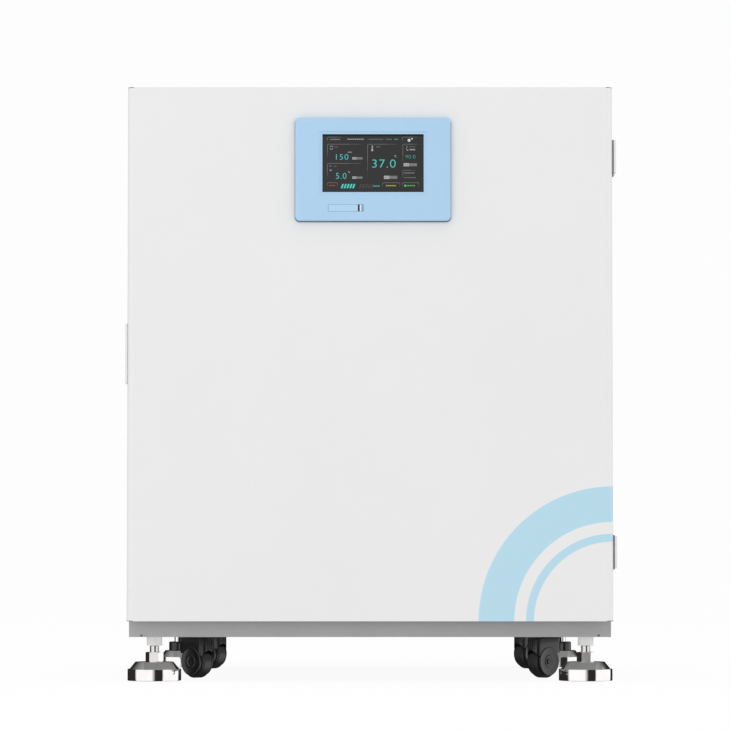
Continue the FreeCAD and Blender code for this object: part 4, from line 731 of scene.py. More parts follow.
@dataclass(frozen=True)
class StripedCoat(Finish):
    """Powder coat with concentric quarter-round stripes about one point, seen from the front."""

    stripe: Colour = BLACK
    middle: Point = (0.0, 0.0, 0.0)
    bands: tuple[Pair, ...] = ()
    reach: float = 0.0
    blur: float = 0.3
    smoother: float = 0.08

    def dress(self, surface: Surface) -> None:
        """Lay the stripes over the coat, on the front face only.

        Args:
            surface: What it is wired on.
        """
        wires = surface.wires
        east, deep, up = surface.axes()
        across = wires.maths("SUBTRACT", east, self.middle[0] * MM)
        rise = wires.maths("SUBTRACT", up, self.middle[2] * MM)
        flat = wires.add("ShaderNodeCombineXYZ", X=across, Y=rise)
        far = wires.add("ShaderNodeVectorMath", {"operation": "LENGTH"}, _0=flat.outputs[0]).outputs["Value"]
        mask: Link = 0.0
        blur = self.blur * MM
        for inner, outer in self.bands:
            inside = wires.spread(far, 0.0, 1.0, inner * MM - blur, inner * MM + blur)
            outside = wires.spread(far, 1.0, 0.0, outer * MM - blur, outer * MM + blur)
            mask = wires.maths("MAXIMUM", mask, wires.maths("MULTIPLY", inside, outside))
        edge = (self.middle[1] + self.reach) * MM
        share = wires.maths("MULTIPLY", mask, wires.spread(deep, 1.0, 0.0, edge, edge + blur))
        surface.colour = wires.blend(share, surface.colour, opaque(self.stripe))
        surface.rough = wires.maths("SUBTRACT", surface.rough, wires.maths("MULTIPLY", share, self.smoother))


@dataclass(frozen=True)
class Lit(Finish):
    """A lit part of the display, with the fine grid of its pixels."""

    rough: Pair = (0.3, 0.4)
    patch: float = 9.0
    slot: str = "screen_dark"
    power: float = 1.0
    pixel: float = 0.19
    gloss: float = 0.2
    gap_share: float = 0.75
    gap_edges: Pair = (-1.0, -0.6)
    between: Colour = (0.004, 0.004, 0.004)
    unlit: Colour = (0.03, 0.03, 0.03)

    def dress(self, surface: Surface) -> None:
        """Light the colour through the pixel grid.

        Args:
            surface: What it is wired on.
        """
        wires = surface.wires
        across, _, up = surface.axes()
        gaps = []
        for axis in (across, up):
            wave = wires.maths("SINE", wires.maths("MULTIPLY", axis, math.tau / (self.pixel * MM)))
            gaps.append(wires.spread(wave, self.gap_share, 1.0, *self.gap_edges))
        grid = wires.maths("MULTIPLY", *gaps)
        surface.light_up(wires.blend(grid, opaque(BLACK), surface.colour), self.power, self.gloss)
        surface.colour = wires.blend(grid, opaque(self.between), opaque(self.unlit))


@dataclass(frozen=True)
class DisplayGlass(Finish):
    """Dark glass of the display, which glows faintly all over but for a band along its top."""

    top: float = 0.0
    band: float = 3.0
    blur: float = 0.4
    glow: Colour = (0.023, 0.023, 0.0235)
    power: float = 1.0
    gloss: float = 0.2

    def dress(self, surface: Surface) -> None:
        """Let the glass glow below the band.

        Args:
            surface: What it is wired on.
        """
        edge = (self.top - self.band) * MM
        share = surface.wires.spread(surface.axes()[2], 0.0, 1.0, edge - self.blur * MM, edge)
        glow = surface.wires.blend(share, opaque(self.glow), opaque(BLACK))
        surface.light_up(glow, self.power, self.gloss)


@dataclass(frozen=True)
class BoardLacquer(Finish):
    """Circuit board lacquer over copper tracks."""

    track: Colour = (0.05, 0.24, 0.10)
    cell: float = 7.0
    rings: float = 26.0
    cover: float = 0.55
    edges: Pair = (0.4, 0.6)

    def dress(self, surface: Surface) -> None:
        """Draw the tracks.

        Args:
            surface: What it is wired on.
        """
        wires = surface.wires
        cells = wires.add(
            "ShaderNodeTexVoronoi", {"distance": "MANHATTAN"}, Vector=surface.place,
            Scale=1 / (self.cell * MM),
        )
        wave = wires.maths("SINE", wires.maths("MULTIPLY", cells.outputs["Distance"], self.rings))
        share = wires.spread(wave, 0.0, self.cover, *self.edges)
        surface.colour = wires.blend(share, surface.colour, opaque(self.track))


class Finishes:
    """All finishes of the object."""

    door = StripedCoat(
        "door_powder_coat", (0.812, 0.811, 0.810), (0.828, 0.827, 0.826), (0.42, 0.50), patch=300.0,
        grain=1.1, depth=0.012, strength=0.12, coat=0.08, coat_rough=0.3, stripe=(0.470, 0.710, 0.836),
        middle=(370.0, -418.25, 93.0), bands=((151.0, 205.0), (121.0, 133.0)), reach=10.0,
        slot="door_white",
    )
    case = Finish(
        "case_powder_coat", (0.785, 0.786, 0.786), (0.808, 0.808, 0.808), (0.44, 0.54), patch=260.0,
        grain=1.1, depth=0.015, strength=0.18, slot="case_white",
    )
    plinth = Finish(
        "plinth_paint", (0.41, 0.41, 0.413), (0.45, 0.45, 0.453), (0.38, 0.50), patch=90.0, metal=0.25,
        grain=0.9, strength=0.3, slot="plinth_grey",
    )
    bezel = Finish(
        "bezel_satin_blue", (0.405, 0.620, 0.835), (0.425, 0.640, 0.855), (0.30, 0.36), patch=80.0,
        grain=0.45, depth=0.006, strength=0.2, coat=0.15, coat_rough=0.22, slot="panel_blue",
    )
    cover = Finish(
        "port_cover_blue", (0.425, 0.645, 0.855), (0.445, 0.660, 0.870), (0.30, 0.38), patch=30.0,
        grain=0.45, depth=0.006, strength=0.2, coat=0.15, coat_rough=0.22, slot="panel_blue",
    )
    glass = DisplayGlass(
        "display_glass", (0.006, 0.006, 0.0065), (0.009, 0.009, 0.0095), (0.10, 0.16), patch=50.0,
        coat=0.15, coat_rough=0.05, grain=0.19, depth=0.001, strength=0.1, top=834.6, slot="screen_dark",
    )
    stainless = Finish(
        "brushed_stainless", (0.68, 0.68, 0.67), (0.74, 0.74, 0.73), (0.30, 0.38), patch=160.0, metal=0.82,
        relief=Relief.BRUSHED, grain=2.0, stretch=(0.08, 1.0, 1.0), wear=0.15, slot="stainless",
    )
    bright_steel = Finish(
        "plated_steel", (0.55, 0.55, 0.55), (0.68, 0.68, 0.67), (0.16, 0.28), patch=12.0, metal=1.0,
        relief=Relief.BRUSHED, depth=0.01, strength=0.2, stretch=(1.0, 1.0, 0.2), wear=0.2,
        slot="bright_steel",
    )
    hinge_steel = Finish(
        "hinge_dark_steel", (0.35, 0.353, 0.357), (0.41, 0.413, 0.417), (0.32, 0.42), patch=10.0, metal=0.8,
        grain=0.5, depth=0.01, slot="hinge_steel",
    )
    heater = Finish(
        "heater_sheath", (0.16, 0.13, 0.11), (0.28, 0.24, 0.21), (0.34, 0.5), patch=14.0, metal=0.9,
        grain=0.6, slot="heater_steel",
    )
    frame_grey = Finish(
        "frame_paint", (0.12, 0.125, 0.13), (0.165, 0.17, 0.175), (0.40, 0.55), patch=50.0, grain=1.0,
        depth=0.03, strength=0.35, wear=0.25, slot="frame_grey",
    )
    iron = Finish(
        "machined_iron", (0.11, 0.11, 0.115), (0.20, 0.20, 0.205), (0.35, 0.55), patch=22.0, metal=0.85,
        relief=Relief.CELLS, grain=1.6, depth=0.08, strength=0.4, wear=0.3, slot="cast_iron",
    )
    pulley = Finish(
        "turned_aluminium", (0.58, 0.585, 0.59), (0.72, 0.725, 0.73), (0.22, 0.34), patch=18.0, metal=1.0,
        relief=Relief.LINES, grain=0.7, depth=0.01, stretch=(0.0, 0.0, 1.0), slot="pulley_alu",
    )
    platform = Finish(
        "anodised_aluminium", (0.46, 0.465, 0.47), (0.55, 0.555, 0.56), (0.32, 0.42), patch=45.0, metal=1.0,
        relief=Relief.BRUSHED, grain=1.4, depth=0.015, stretch=(0.08, 1.0, 1.0), wear=0.35,
        slot="platform_alu",
    )
    motor = Finish(
        "motor_enamel", (0.018, 0.019, 0.021), (0.035, 0.036, 0.039), (0.30, 0.45), patch=20.0, coat=0.2,
        grain=0.9, depth=0.03, strength=0.4, slot="motor_black",
    )
    belt = Finish(
        "ribbed_belt_rubber", (0.012, 0.012, 0.013), (0.028, 0.028, 0.029), (0.6, 0.78), patch=9.0,
        relief=Relief.LINES, grain=1.0, depth=0.06, strength=0.5, stretch=(0.0, 0.0, 1.0),
        slot="belt_rubber",
    )
    gasket = Finish(
        "bellows_rubber", (0.17, 0.175, 0.18), (0.22, 0.225, 0.23), (0.5, 0.66), patch=25.0, grain=0.6,
        depth=0.03, strength=0.35, slot="gasket_rubber",
    )
    fan = Finish(
        "moulded_fan_plastic", (0.030, 0.032, 0.034), (0.05, 0.052, 0.055), (0.34, 0.46), patch=16.0,
        grain=0.7, slot="fan_plastic",
    )
    board = BoardLacquer(
        "board_lacquer", (0.010, 0.085, 0.035), (0.014, 0.11, 0.045), (0.24, 0.34), patch=10.0, coat=0.3,
        grain=0.5, depth=0.01, slot="board_green",
    )
    brass = Finish(
        "turned_brass", (0.58, 0.40, 0.16), (0.72, 0.52, 0.23), (0.22, 0.34), patch=8.0, metal=1.0,
        grain=0.5, depth=0.01, wear=0.3, slot="fitting_brass",
    )
    valve = Finish(
        "valve_body", (0.20, 0.205, 0.21), (0.27, 0.275, 0.28), (0.40, 0.5), patch=12.0, metal=0.3,
        grain=0.6, slot="valve_grey",
    )
    socket = Finish(
        "moulded_socket_black", (0.012, 0.012, 0.013), (0.024, 0.024, 0.025), (0.38, 0.5), patch=10.0,
        grain=0.4, strength=0.4, slot="socket_black",
    )
    rocker = Finish(
        "glossy_rocker_black", (0.014, 0.014, 0.015), (0.026, 0.026, 0.027), (0.22, 0.3), patch=8.0,
        coat=0.2, grain=0.4, depth=0.01, slot="rocker_black",
    )
    cap = Finish(
        "edge_cap_grey", (0.085, 0.088, 0.092), (0.115, 0.118, 0.122), (0.42, 0.52), patch=7.0, grain=0.4,
        depth=0.015, slot="cap_grey",
    )
    foam = Finish(
        "door_foam", (0.74, 0.70, 0.56), (0.82, 0.78, 0.64), (0.8, 0.92), patch=30.0, relief=Relief.CELLS,
        grain=2.0, depth=0.5, strength=0.6, slot="foam_core",
    )
    fibre = Finish(
        "mineral_fibre", (0.66, 0.62, 0.50), (0.78, 0.75, 0.63), (0.86, 0.96), patch=40.0,
        relief=Relief.BRUSHED, grain=3.0, depth=1.2, strength=0.8, stretch=(0.3, 1.0, 1.0),
        slot="fibre_slab",
    )
    grip = Finish(
        "satin_grip_grey", (0.78, 0.785, 0.79), (0.83, 0.835, 0.84), (0.38, 0.46), patch=20.0, grain=0.5,
        depth=0.015, slot="grip_grey",
    )
    hinge_cover = Finish(
        "hinge_cover_white", (0.78, 0.785, 0.785), (0.81, 0.813, 0.813), (0.36, 0.44), patch=20.0,
        grain=0.6, depth=0.01, slot="cover_white",
    )
    sleeve = Finish(
        "bright_zinc_sleeve", (0.955, 0.945, 0.935), (0.98, 0.97, 0.96), (0.30, 0.38), patch=9.0,
        relief=Relief.LINES, grain=1.2, depth=0.01, strength=0.2, stretch=(0.0, 0.0, 1.0),
        slot="sleeve_zinc",
    )
    chrome = Finish(
        "polished_chrome", (0.80, 0.79, 0.78), (0.88, 0.87, 0.86), (0.035, 0.07), patch=25.0, metal=1.0,
        grain=0.6, depth=0.002, strength=0.08, slot="chrome",
    )
    caster = Finish(
        "caster_gloss_black", (0.006, 0.006, 0.006), (0.011, 0.011, 0.011), (0.22, 0.30), patch=15.0,
        coat=0.2, coat_rough=0.1, grain=0.5, depth=0.01, strength=0.2, slot="caster_black",
    )
    wheel = Finish(
        "wheel_tread_black", (0.008, 0.008, 0.008), (0.015, 0.015, 0.015), (0.28, 0.4), patch=12.0,
        coat=0.15, grain=0.5, strength=0.3, slot="wheel_black",
    )
    # Dark slate for a rim laid behind the bezel: painted shade for the bezel's shaded underside and lower
    # edge, not the colour of a real part.
    painted_bezel_shade = Finish(
        "seal_slate", (0.080, 0.140, 0.205), (0.100, 0.165, 0.230), (0.45, 0.55), patch=30.0, grain=0.5,
        depth=0.015, slot="gasket_rubber",
    )
    # Dark navy for a flat plate on the USB cover: painted shadow where the cover's nail notch is in shade.
    gap = Finish(
        "shadow_gap_navy", (0.006, 0.012, 0.028), (0.010, 0.018, 0.036), (0.5, 0.6), patch=6.0, grain=0.4,
        depth=0.01, slot="panel_blue",
    )
    tab = Finish(
        "cover_tab_grey", (0.22, 0.30, 0.40), (0.27, 0.35, 0.45), (0.38, 0.46), patch=4.0, grain=0.5,
        depth=0.015, slot="grip_grey",
    )


FEET = [f"foot_{end}_{side}" for end in ("front", "back") for side in ("left", "right")]
CASTERS = [f"caster_{end}_{side}" for end in ("front", "back") for side in ("left", "right")]
DRESSED: dict[Finish, list[str]] = {
    Finishes.door: ["door_skin"],
    Finishes.case: ["side_panels", "top_panel", "rear_panel", "control_box"],
    Finishes.plinth: ["base_plinth"],
    Finishes.bezel: ["control_bezel"],
    Finishes.cover: ["usb_cover"],
    Finishes.glass: ["display_screen"],
    Finishes.stainless: ["front_frame", "chamber_liner", "air_baffle", "humidity_pan", "door_inner_panel"],
    Finishes.bright_steel: [
        "panel_screws", "sensor_probe", "usb_socket", "crank_shaft", "idler_1_crank", "idler_2_crank",
        "idler_3_crank",
    ],
    Finishes.hinge_steel: ["cabinet_hinges", "door_hinge_leaves"],
    Finishes.heater: ["heater_ring"],
    Finishes.frame_grey: ["drive_frame", "platform_carriage"],
    Finishes.iron: ["bearing_housings", "counterweight"],
    Finishes.pulley: ["crank_pulley", "motor_pulley"],
    Finishes.platform: ["platform_tray"],
    Finishes.motor: ["drive_motor", "fan_motor"],
    Finishes.belt: ["drive_belt"],
    Finishes.gasket: ["door_gasket"],
    Finishes.fan: ["fan_wheel"],
    Finishes.board: ["main_board"],
    Finishes.brass: ["gas_fitting"],
    Finishes.valve: ["gas_valve"],
    Finishes.socket: ["power_inlet"],
    Finishes.rocker: ["power_rocker"],
    Finishes.cap: ["door_edge_caps"],
    Finishes.foam: ["door_core"],
    Finishes.fibre: ["insulation_slabs"],
    Finishes.grip: ["grip_cup_strip"],
    Finishes.hinge_cover: ["door_hinge_covers"],
    Finishes.sleeve: ["foot_sleeves"],
    Finishes.chrome: [*FEET, "caster_stems"],
    Finishes.caster: [f"{name}_hood" for name in CASTERS],
    Finishes.wheel: [f"{name}_wheel" for name in CASTERS],
}


def dress_nodes() -> None:
    """Give every CAD node its finish."""
    for finish, names in DRESSED.items():
        for name in names:
            put_on(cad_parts[name], finish)
    log.info("dressed %d CAD nodes", sum(map(len, DRESSED.values())))


def put_on(piece: Object, finish: Finish) -> None:
    """Give a piece its one material.

    Args:
        piece: The piece.
        finish: Its finish.
    """
    piece.data.materials.clear()
    piece.data.materials.append(finish.material())


def ride(name: str, mesh: Mesh, finish: Finish, body: str = "cabinet") -> Object:
    """Finish a piece: material and the body that it moves with.

    Args:
        name: The piece's name.
        mesh: Its mesh, in its place.
        finish: Its finish.
        body: The CAD body it rides on.

    Returns:
        The piece.
    """
    piece = new_object(name, mesh)
    put_on(piece, finish)
    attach(piece, body)
    log.info("%s: %d faces on %s", name, len(mesh.polygons), body)
    return piece


@dataclass(frozen=True)
class Box:
    """The box round a CAD node, in mm."""

    low: Vector
    high: Vector

    @classmethod
    def of(cls, name: str) -> "Box":
        """The box of a node."""
        low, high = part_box(name)
        return cls(Vector(low) / MM, Vector(high) / MM)

    @property
    def middle(self) -> Vector:
        """Its middle."""
        return (self.low + self.high) / 2

    @property
    def size(self) -> Vector:
        """Its lengths."""
        return self.high - self.low


# Repeats with Geometry Nodes


CORNER_STEPS = 8


class Repeater(Wires):
    """A Geometry Nodes tree that repeats or sweeps a shape, and ends in one dressed mesh."""

    def __init__(self, name: str, **inputs: str) -> None:
        """Start the tree, with a shape and a material among its inputs.

        Args:
            name: The tree's name.
            inputs: Its other inputs, with spaces as underscores, and their socket types.
        """
        super().__init__(bpy.data.node_groups.new(name, "GeometryNodeTree"))
        sockets = {"Geometry": "Geometry", "Shape": "Object", **inputs, "Material": "Material"}
        for label, kind in sockets.items():
            self.tree.interface.new_socket(
                label.replace("_", " "), in_out="INPUT", socket_type=f"NodeSocket{kind}"
            )
        self.tree.interface.new_socket("Geometry", in_out="OUTPUT", socket_type="NodeSocketGeometry")
        self.inputs = self.add("NodeGroupInput").outputs

    def run(self, kind: str, settings: dict[str, object] | None = None, **inputs: Link) -> NodeSocket:
        """Add a node and return its first output; see Wires.add."""
        return self.add(f"GeometryNode{kind}", settings, **inputs).outputs[0]

    def shape(self) -> NodeSocket:
        """The geometry of the tree's shape."""
        info = self.add("GeometryNodeObjectInfo", Object=self.inputs["Shape"])
        return info.outputs["Geometry"]

    def rectangle(self) -> NodeSocket:
        """A curve of the tree's width and height."""
        width, height = self.inputs["Width"], self.inputs["Height"]
        return self.run("CurvePrimitiveQuadrilateral", Width=width, Height=height)

    def upright(self, flat: NodeSocket) -> NodeSocket:
        """Something flat, stood up to face -Y about the tree's middle."""
        turn = (math.pi / 2, 0.0, 0.0)
        return self.run("Transform", Geometry=flat, Translation=self.inputs["Middle"], Rotation=turn)

    def close(self, made: NodeSocket) -> NodeTree:
        """End the tree: instances made real, and the material set.

        Args:
            made: The copies or the swept shape.

        Returns:
            The tree.
        """
        real = self.run("RealizeInstances", Geometry=made)
        dressed = self.run("SetMaterial", Geometry=real, Material=self.inputs["Material"])
        self.feed(self.add("NodeGroupOutput").inputs[0], dressed)
        return self.tree


@cache
def grid_tree() -> NodeTree:
    """Copies of a shape in even rows and columns.

    Returns:
        The tree.
    """
    tree = Repeater(
        "repeat_grid", Columns="Int", Rows="Int", Start="Vector", Column_Step="Vector", Row_Step="Vector"
    )
    row = tree.run(
        "MeshLine", Count=tree.inputs["Columns"], Start_Location=tree.inputs["Start"],
        Offset=tree.inputs["Column Step"],
    )
    rows = tree.run("MeshLine", Count=tree.inputs["Rows"], Offset=tree.inputs["Row Step"])
    points = tree.run("RealizeInstances", Geometry=tree.run("InstanceOnPoints", Points=rows, Instance=row))
    return tree.close(tree.run("InstanceOnPoints", Points=points, Instance=tree.shape()))


@cache
def ring_tree() -> NodeTree:
    """Copies of a shape round an upright axis, each turned with its place.

    Returns:
        The tree.
    """
    tree = Repeater("repeat_ring", Count="Int", Radius="Float", Middle="Vector")
    circle = tree.run("MeshCircle", Vertices=tree.inputs["Count"], Radius=tree.inputs["Radius"])
    index = tree.run("InputIndex")
    angle = tree.maths("DIVIDE", tree.maths("MULTIPLY", index, math.tau), tree.inputs["Count"])
    turn = tree.add("ShaderNodeCombineXYZ", Z=angle).outputs[0]
    copies = tree.run("InstanceOnPoints", Points=circle, Instance=tree.shape(), Rotation=turn)
    return tree.close(tree.run("Transform", Geometry=copies, Translation=tree.inputs["Middle"]))


@cache
def frame_tree() -> NodeTree:
    """Copies of a shape at even steps round an upright frame that faces -Y.

    Returns:
        The tree.
    """
    tree = Repeater("repeat_frame", Count="Int", Width="Float", Height="Float", Middle="Vector")
    even = tree.run("ResampleCurve", Curve=tree.rectangle(), Count=tree.inputs["Count"])
    return tree.close(tree.run("InstanceOnPoints", Points=tree.upright(even), Instance=tree.shape()))


@cache
def sweep_tree() -> NodeTree:
    """A section swept round an upright frame with rounded corners that faces -Y.

    Returns:
        The tree.
    """
    tree = Repeater("sweep_frame", Width="Float", Height="Float", Corner="Float", Middle="Vector")
    bent = tree.run(
        "FilletCurve", {"mode": "POLY"}, Curve=tree.rectangle(), Count=CORNER_STEPS,
        Radius=tree.inputs["Corner"],
    )
    section = tree.run("MeshToCurve", Mesh=tree.shape())
    return tree.close(tree.upright(tree.run("CurveToMesh", Curve=bent, Profile_Curve=section)))


def repeated(
    maker: Callable[[], NodeTree], shape: Mesh, finish: Finish, **sizes: int | float | Point
) -> Mesh:
    """Run one of the repeat trees and keep its result as a plain mesh.

    Args:
        maker: What makes the tree, which is made once.
        shape: The mesh that is repeated, or the section that is swept. It is removed.
        finish: The finish of the result.
        sizes: The tree's inputs, with spaces as underscores. Lengths are in mm.

    Returns:
        The mesh, in metres.
    """
    tree = maker()
    template = new_object("repeat_shape", shape)
    carrier = new_object("repeat_carrier", bpy.data.meshes.new("repeat_carrier"))
    modifier = carrier.modifiers.new("repeat", "NODES")
    modifier.node_group = tree
    wanted: dict[str, object] = {"Shape": template, "Material": finish.material()}
    for key, size in sizes.items():
        if isinstance(size, tuple):
            size = tuple(part * MM for part in size)
        elif isinstance(size, float):
            size = size * MM
        wanted[key.replace("_", " ")] = size
    for socket in tree.interface.items_tree:
        if socket.in_out == "INPUT" and socket.name in wanted:
            modifier[socket.identifier] = wanted[socket.name]
    carrier.update_tag()
    result = settled(carrier)
    carrier.modifiers.remove(modifier)
    for spare in (carrier, template):
        bpy.data.objects.remove(spare)
    return result


def grid(
    shape: Mesh, finish: Finish, start: Sequence[float], rows: Run, columns: Run = (1, (0.0, 0.0, 0.0))
) -> Mesh:
    """Copies of a shape in even rows and columns.

    Args:
        shape: The mesh that is repeated, which is removed.
        finish: The finish of the copies.
        start: The first copy's place in mm.
        rows: How many rows, and the step between them in mm.
        columns: How many columns, and the step between them in mm.

    Returns:
        The mesh, in metres.
    """
    return repeated(
        grid_tree, shape, finish, Start=tuple(start), Columns=columns[0], Column_Step=columns[1],
        Rows=rows[0], Row_Step=rows[1],
    )


# Hardware


SCREW_DOME = ((1.0, 0.0), (1.0, 0.5), (0.93, 0.78), (0.74, 1.0))
SOCKET_FLATS = 0.9
SOCKET_FLOOR = 0.4


class Facing(Enum):
    """Turns that carry +Z to another way."""

    UP = (0.0, "X")
    DOWN = (math.pi, "X")
    FRONT = (math.pi / 2, "X")
    BACK = (-math.pi / 2, "X")
    RIGHT = (math.pi / 2, "Y")
    LEFT = (-math.pi / 2, "Y")

    def matrix(self) -> Matrix:
        """The turn as a matrix."""
        angle, axis = self.value
        return Matrix.Rotation(angle, 4, axis)


def turned(profile: Profile, facing: Facing, sides: int = 32) -> Mesh:
    """A lathed shape whose top faces some way; see lathe."""
    return moved(lathe(profile, sides), turn=facing.matrix())


def screw_head(radius: float, height: float, facing: Facing) -> Mesh:
    """A domed screw head with a hexagon socket.

    Args:
        radius: Its radius in mm.
        height: Its height in mm.
        facing: The way its top faces.

    Returns:
        The mesh, with its underside on the origin.
    """
    socket, floor = hexagon(radius * SOCKET_FLATS), height * SOCKET_FLOOR
    dome = ((radius * across, height * up) for across, up in SCREW_DOME)
    return turned([(0, 0), *dome, (socket, height), (socket, floor), (0, floor)], facing, sides=24)


def edge_screws(box: Box, head: Mesh, face: float, margin: float, rows: int) -> Mesh:
    """Screws in two even columns on an upright panel.

    Args:
        box: The panel's box.
        head: One screw's head, which is removed.
        face: Where the heads sit along Y, in mm.
        margin: How far the outer ones are from the panel's edges, in mm.
        rows: How many a column has.

    Returns:
        The mesh, in metres.
    """
    up = (0.0, 0.0, (box.size.z - 2 * margin) / (rows - 1))
    across = (box.size.x - 2 * margin, 0.0, 0.0)
    start = (box.low.x + margin, face, box.low.z + margin)
    return grid(head, Finishes.bright_steel, start, (rows, up), (2, across))


def prism(outline: Outline, width: float) -> Mesh:
    """A shape extruded along X, about x = 0, from back and up pairs in mm."""
    return moved(plate(outline, width), (-width / 2, 0, 0), Matrix.Rotation(math.pi / 2, 4, "Z"))


@dataclass
class RearPanel:
    """Screws, louvre hoods, hose barb and mains socket details at the back. Lengths are in mm."""

    screw_radius: float = 4.0
    screw_height: float = 2.0
    screws_per_side: int = 4
    louvres: int = 8
    louvre_pitch: float = 14.0
    louvre_low: float = 223.0
    louvre_length: float = 160.0
    hood_lap: float = 2.0
    hood_wall: float = 1.0
    hood_lip: float = 0.4
    hood_outside: Outline = ((0, 7.2), (1.6, 6.8), (3.4, 5.4), (4.6, 3.2), (5.0, 0.4))
    hood_inside: Outline = ((4.1, 0.4), (3.7, 2.9), (2.7, 4.7), (1.2, 5.8), (0, 6.1))
    ridges: int = 3
    ridge_pitch: float = 4.6
    ridge: Profile = ((3.5, 0), (5.0, 0), (5.0, 0.4), (4.1, 3.8), (3.5, 3.8))
    nut: Profile = ((0, 0), (hexagon(17.0), 0), (hexagon(17.0), 3.0), (7.5, 3.6), (0, 3.6))
    nut_start: float = 7.5
    inlet_inset: float = 3.0
    side_screws: int = 5
    side_inset: float = 9.0
    side_end: float = 30.0
    rivet: Profile = ((0, 0), (1.7, 0), (1.5, 0.5), (0.8, 0.8), (0, 0.9))
    rivet_inset: float = 19.0
    rivet_rise: float = 2.4

    def build_screws(self) -> None:
        """Panel screws with sockets, in place of the plain heads."""
        box = Box.of("panel_screws")
        head = screw_head(self.screw_radius, self.screw_height, Facing.BACK)
        mesh = edge_screws(box, head, box.high.y - self.screw_height, self.screw_radius, self.screws_per_side)
        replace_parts(ride("rear_panel_screws", mesh, Finishes.bright_steel), "panel_screws")

    def build_louvres(self) -> None:
        """A pressed hood over each louvre slot."""
        length = self.louvre_length + 2 * self.hood_lap
        cheek = (length - self.hood_wall) / 2
        parts = [prism(self.hood_outside + self.hood_inside, length)]
        for side in (-1, 1):
            end = prism((*self.hood_outside, (0, self.hood_lip)), self.hood_wall)
            parts.append(moved(end, (side * cheek, 0, 0)))
        start = (0.0, Box.of("rear_panel").high.y, self.louvre_low)
        mesh = grid(joined(parts), Finishes.case, start, (self.louvres, (0.0, 0.0, self.louvre_pitch)))
        ride("rear_louvre_hoods", mesh, Finishes.case)

    def build_barb(self) -> None:
        """Ridges that hold the gas hose, and the nut behind them."""
        box = Box.of("gas_fitting")
        middle = box.middle
        start = (middle.x, box.high.y - self.ridges * self.ridge_pitch, middle.z)
        ridge = turned(self.ridge, Facing.BACK)
        mesh = grid(ridge, Finishes.brass, start, (self.ridges, (0.0, self.ridge_pitch, 0.0)))
        nut = moved(turned(self.nut, Facing.BACK, sides=48), (middle.x, box.low.y + self.nut_start, middle.z))
        ride("gas_hose_barb", joined([mesh, nut]), Finishes.brass)

    def build_inlet(self) -> None:
        """Flange screws of the mains socket."""
        box = Box.of("power_inlet")
        head = screw_head(radius=2.1, height=1.2, facing=Facing.BACK)
        mesh = edge_screws(box, head, box.high.y, self.inlet_inset, rows=2)
        ride("inlet_screws", mesh, Finishes.bright_steel)

    def build_side_screws(self) -> None:
        """Screws that hold the side panels to the rear fold."""
        box = Box.of("side_panels")
        step = (0.0, 0.0, (box.size.z - 2 * self.side_end) / (self.side_screws - 1))
        parts = []
        for edge, facing in ((box.low.x, Facing.LEFT), (box.high.x, Facing.RIGHT)):
            start = (edge, box.high.y - self.side_inset, box.low.z + self.side_end)
            head = screw_head(radius=3.6, height=1.7, facing=facing)
            parts.append(grid(head, Finishes.bright_steel, start, (self.side_screws, step)))
        ride("side_panel_screws", joined(parts), Finishes.bright_steel)

    def build_rivets(self) -> None:
        """The two rivets at the front of the plinth."""
        box = Box.of("base_plinth")
        start = (box.low.x + self.rivet_inset, box.low.y, box.low.z + self.rivet_rise)
        step = (box.size.x - 2 * self.rivet_inset, 0.0, 0.0)
        rivet = turned(self.rivet, Facing.FRONT, sides=20)
        ride("plinth_rivets", grid(rivet, Finishes.cap, start, (2, step)), Finishes.cap)

    def build(self) -> None:
        """Make all pieces of the back and sides."""
        self.build_screws()
        self.build_louvres()
        self.build_barb()
        self.build_inlet()
        self.build_side_screws()
        self.build_rivets()


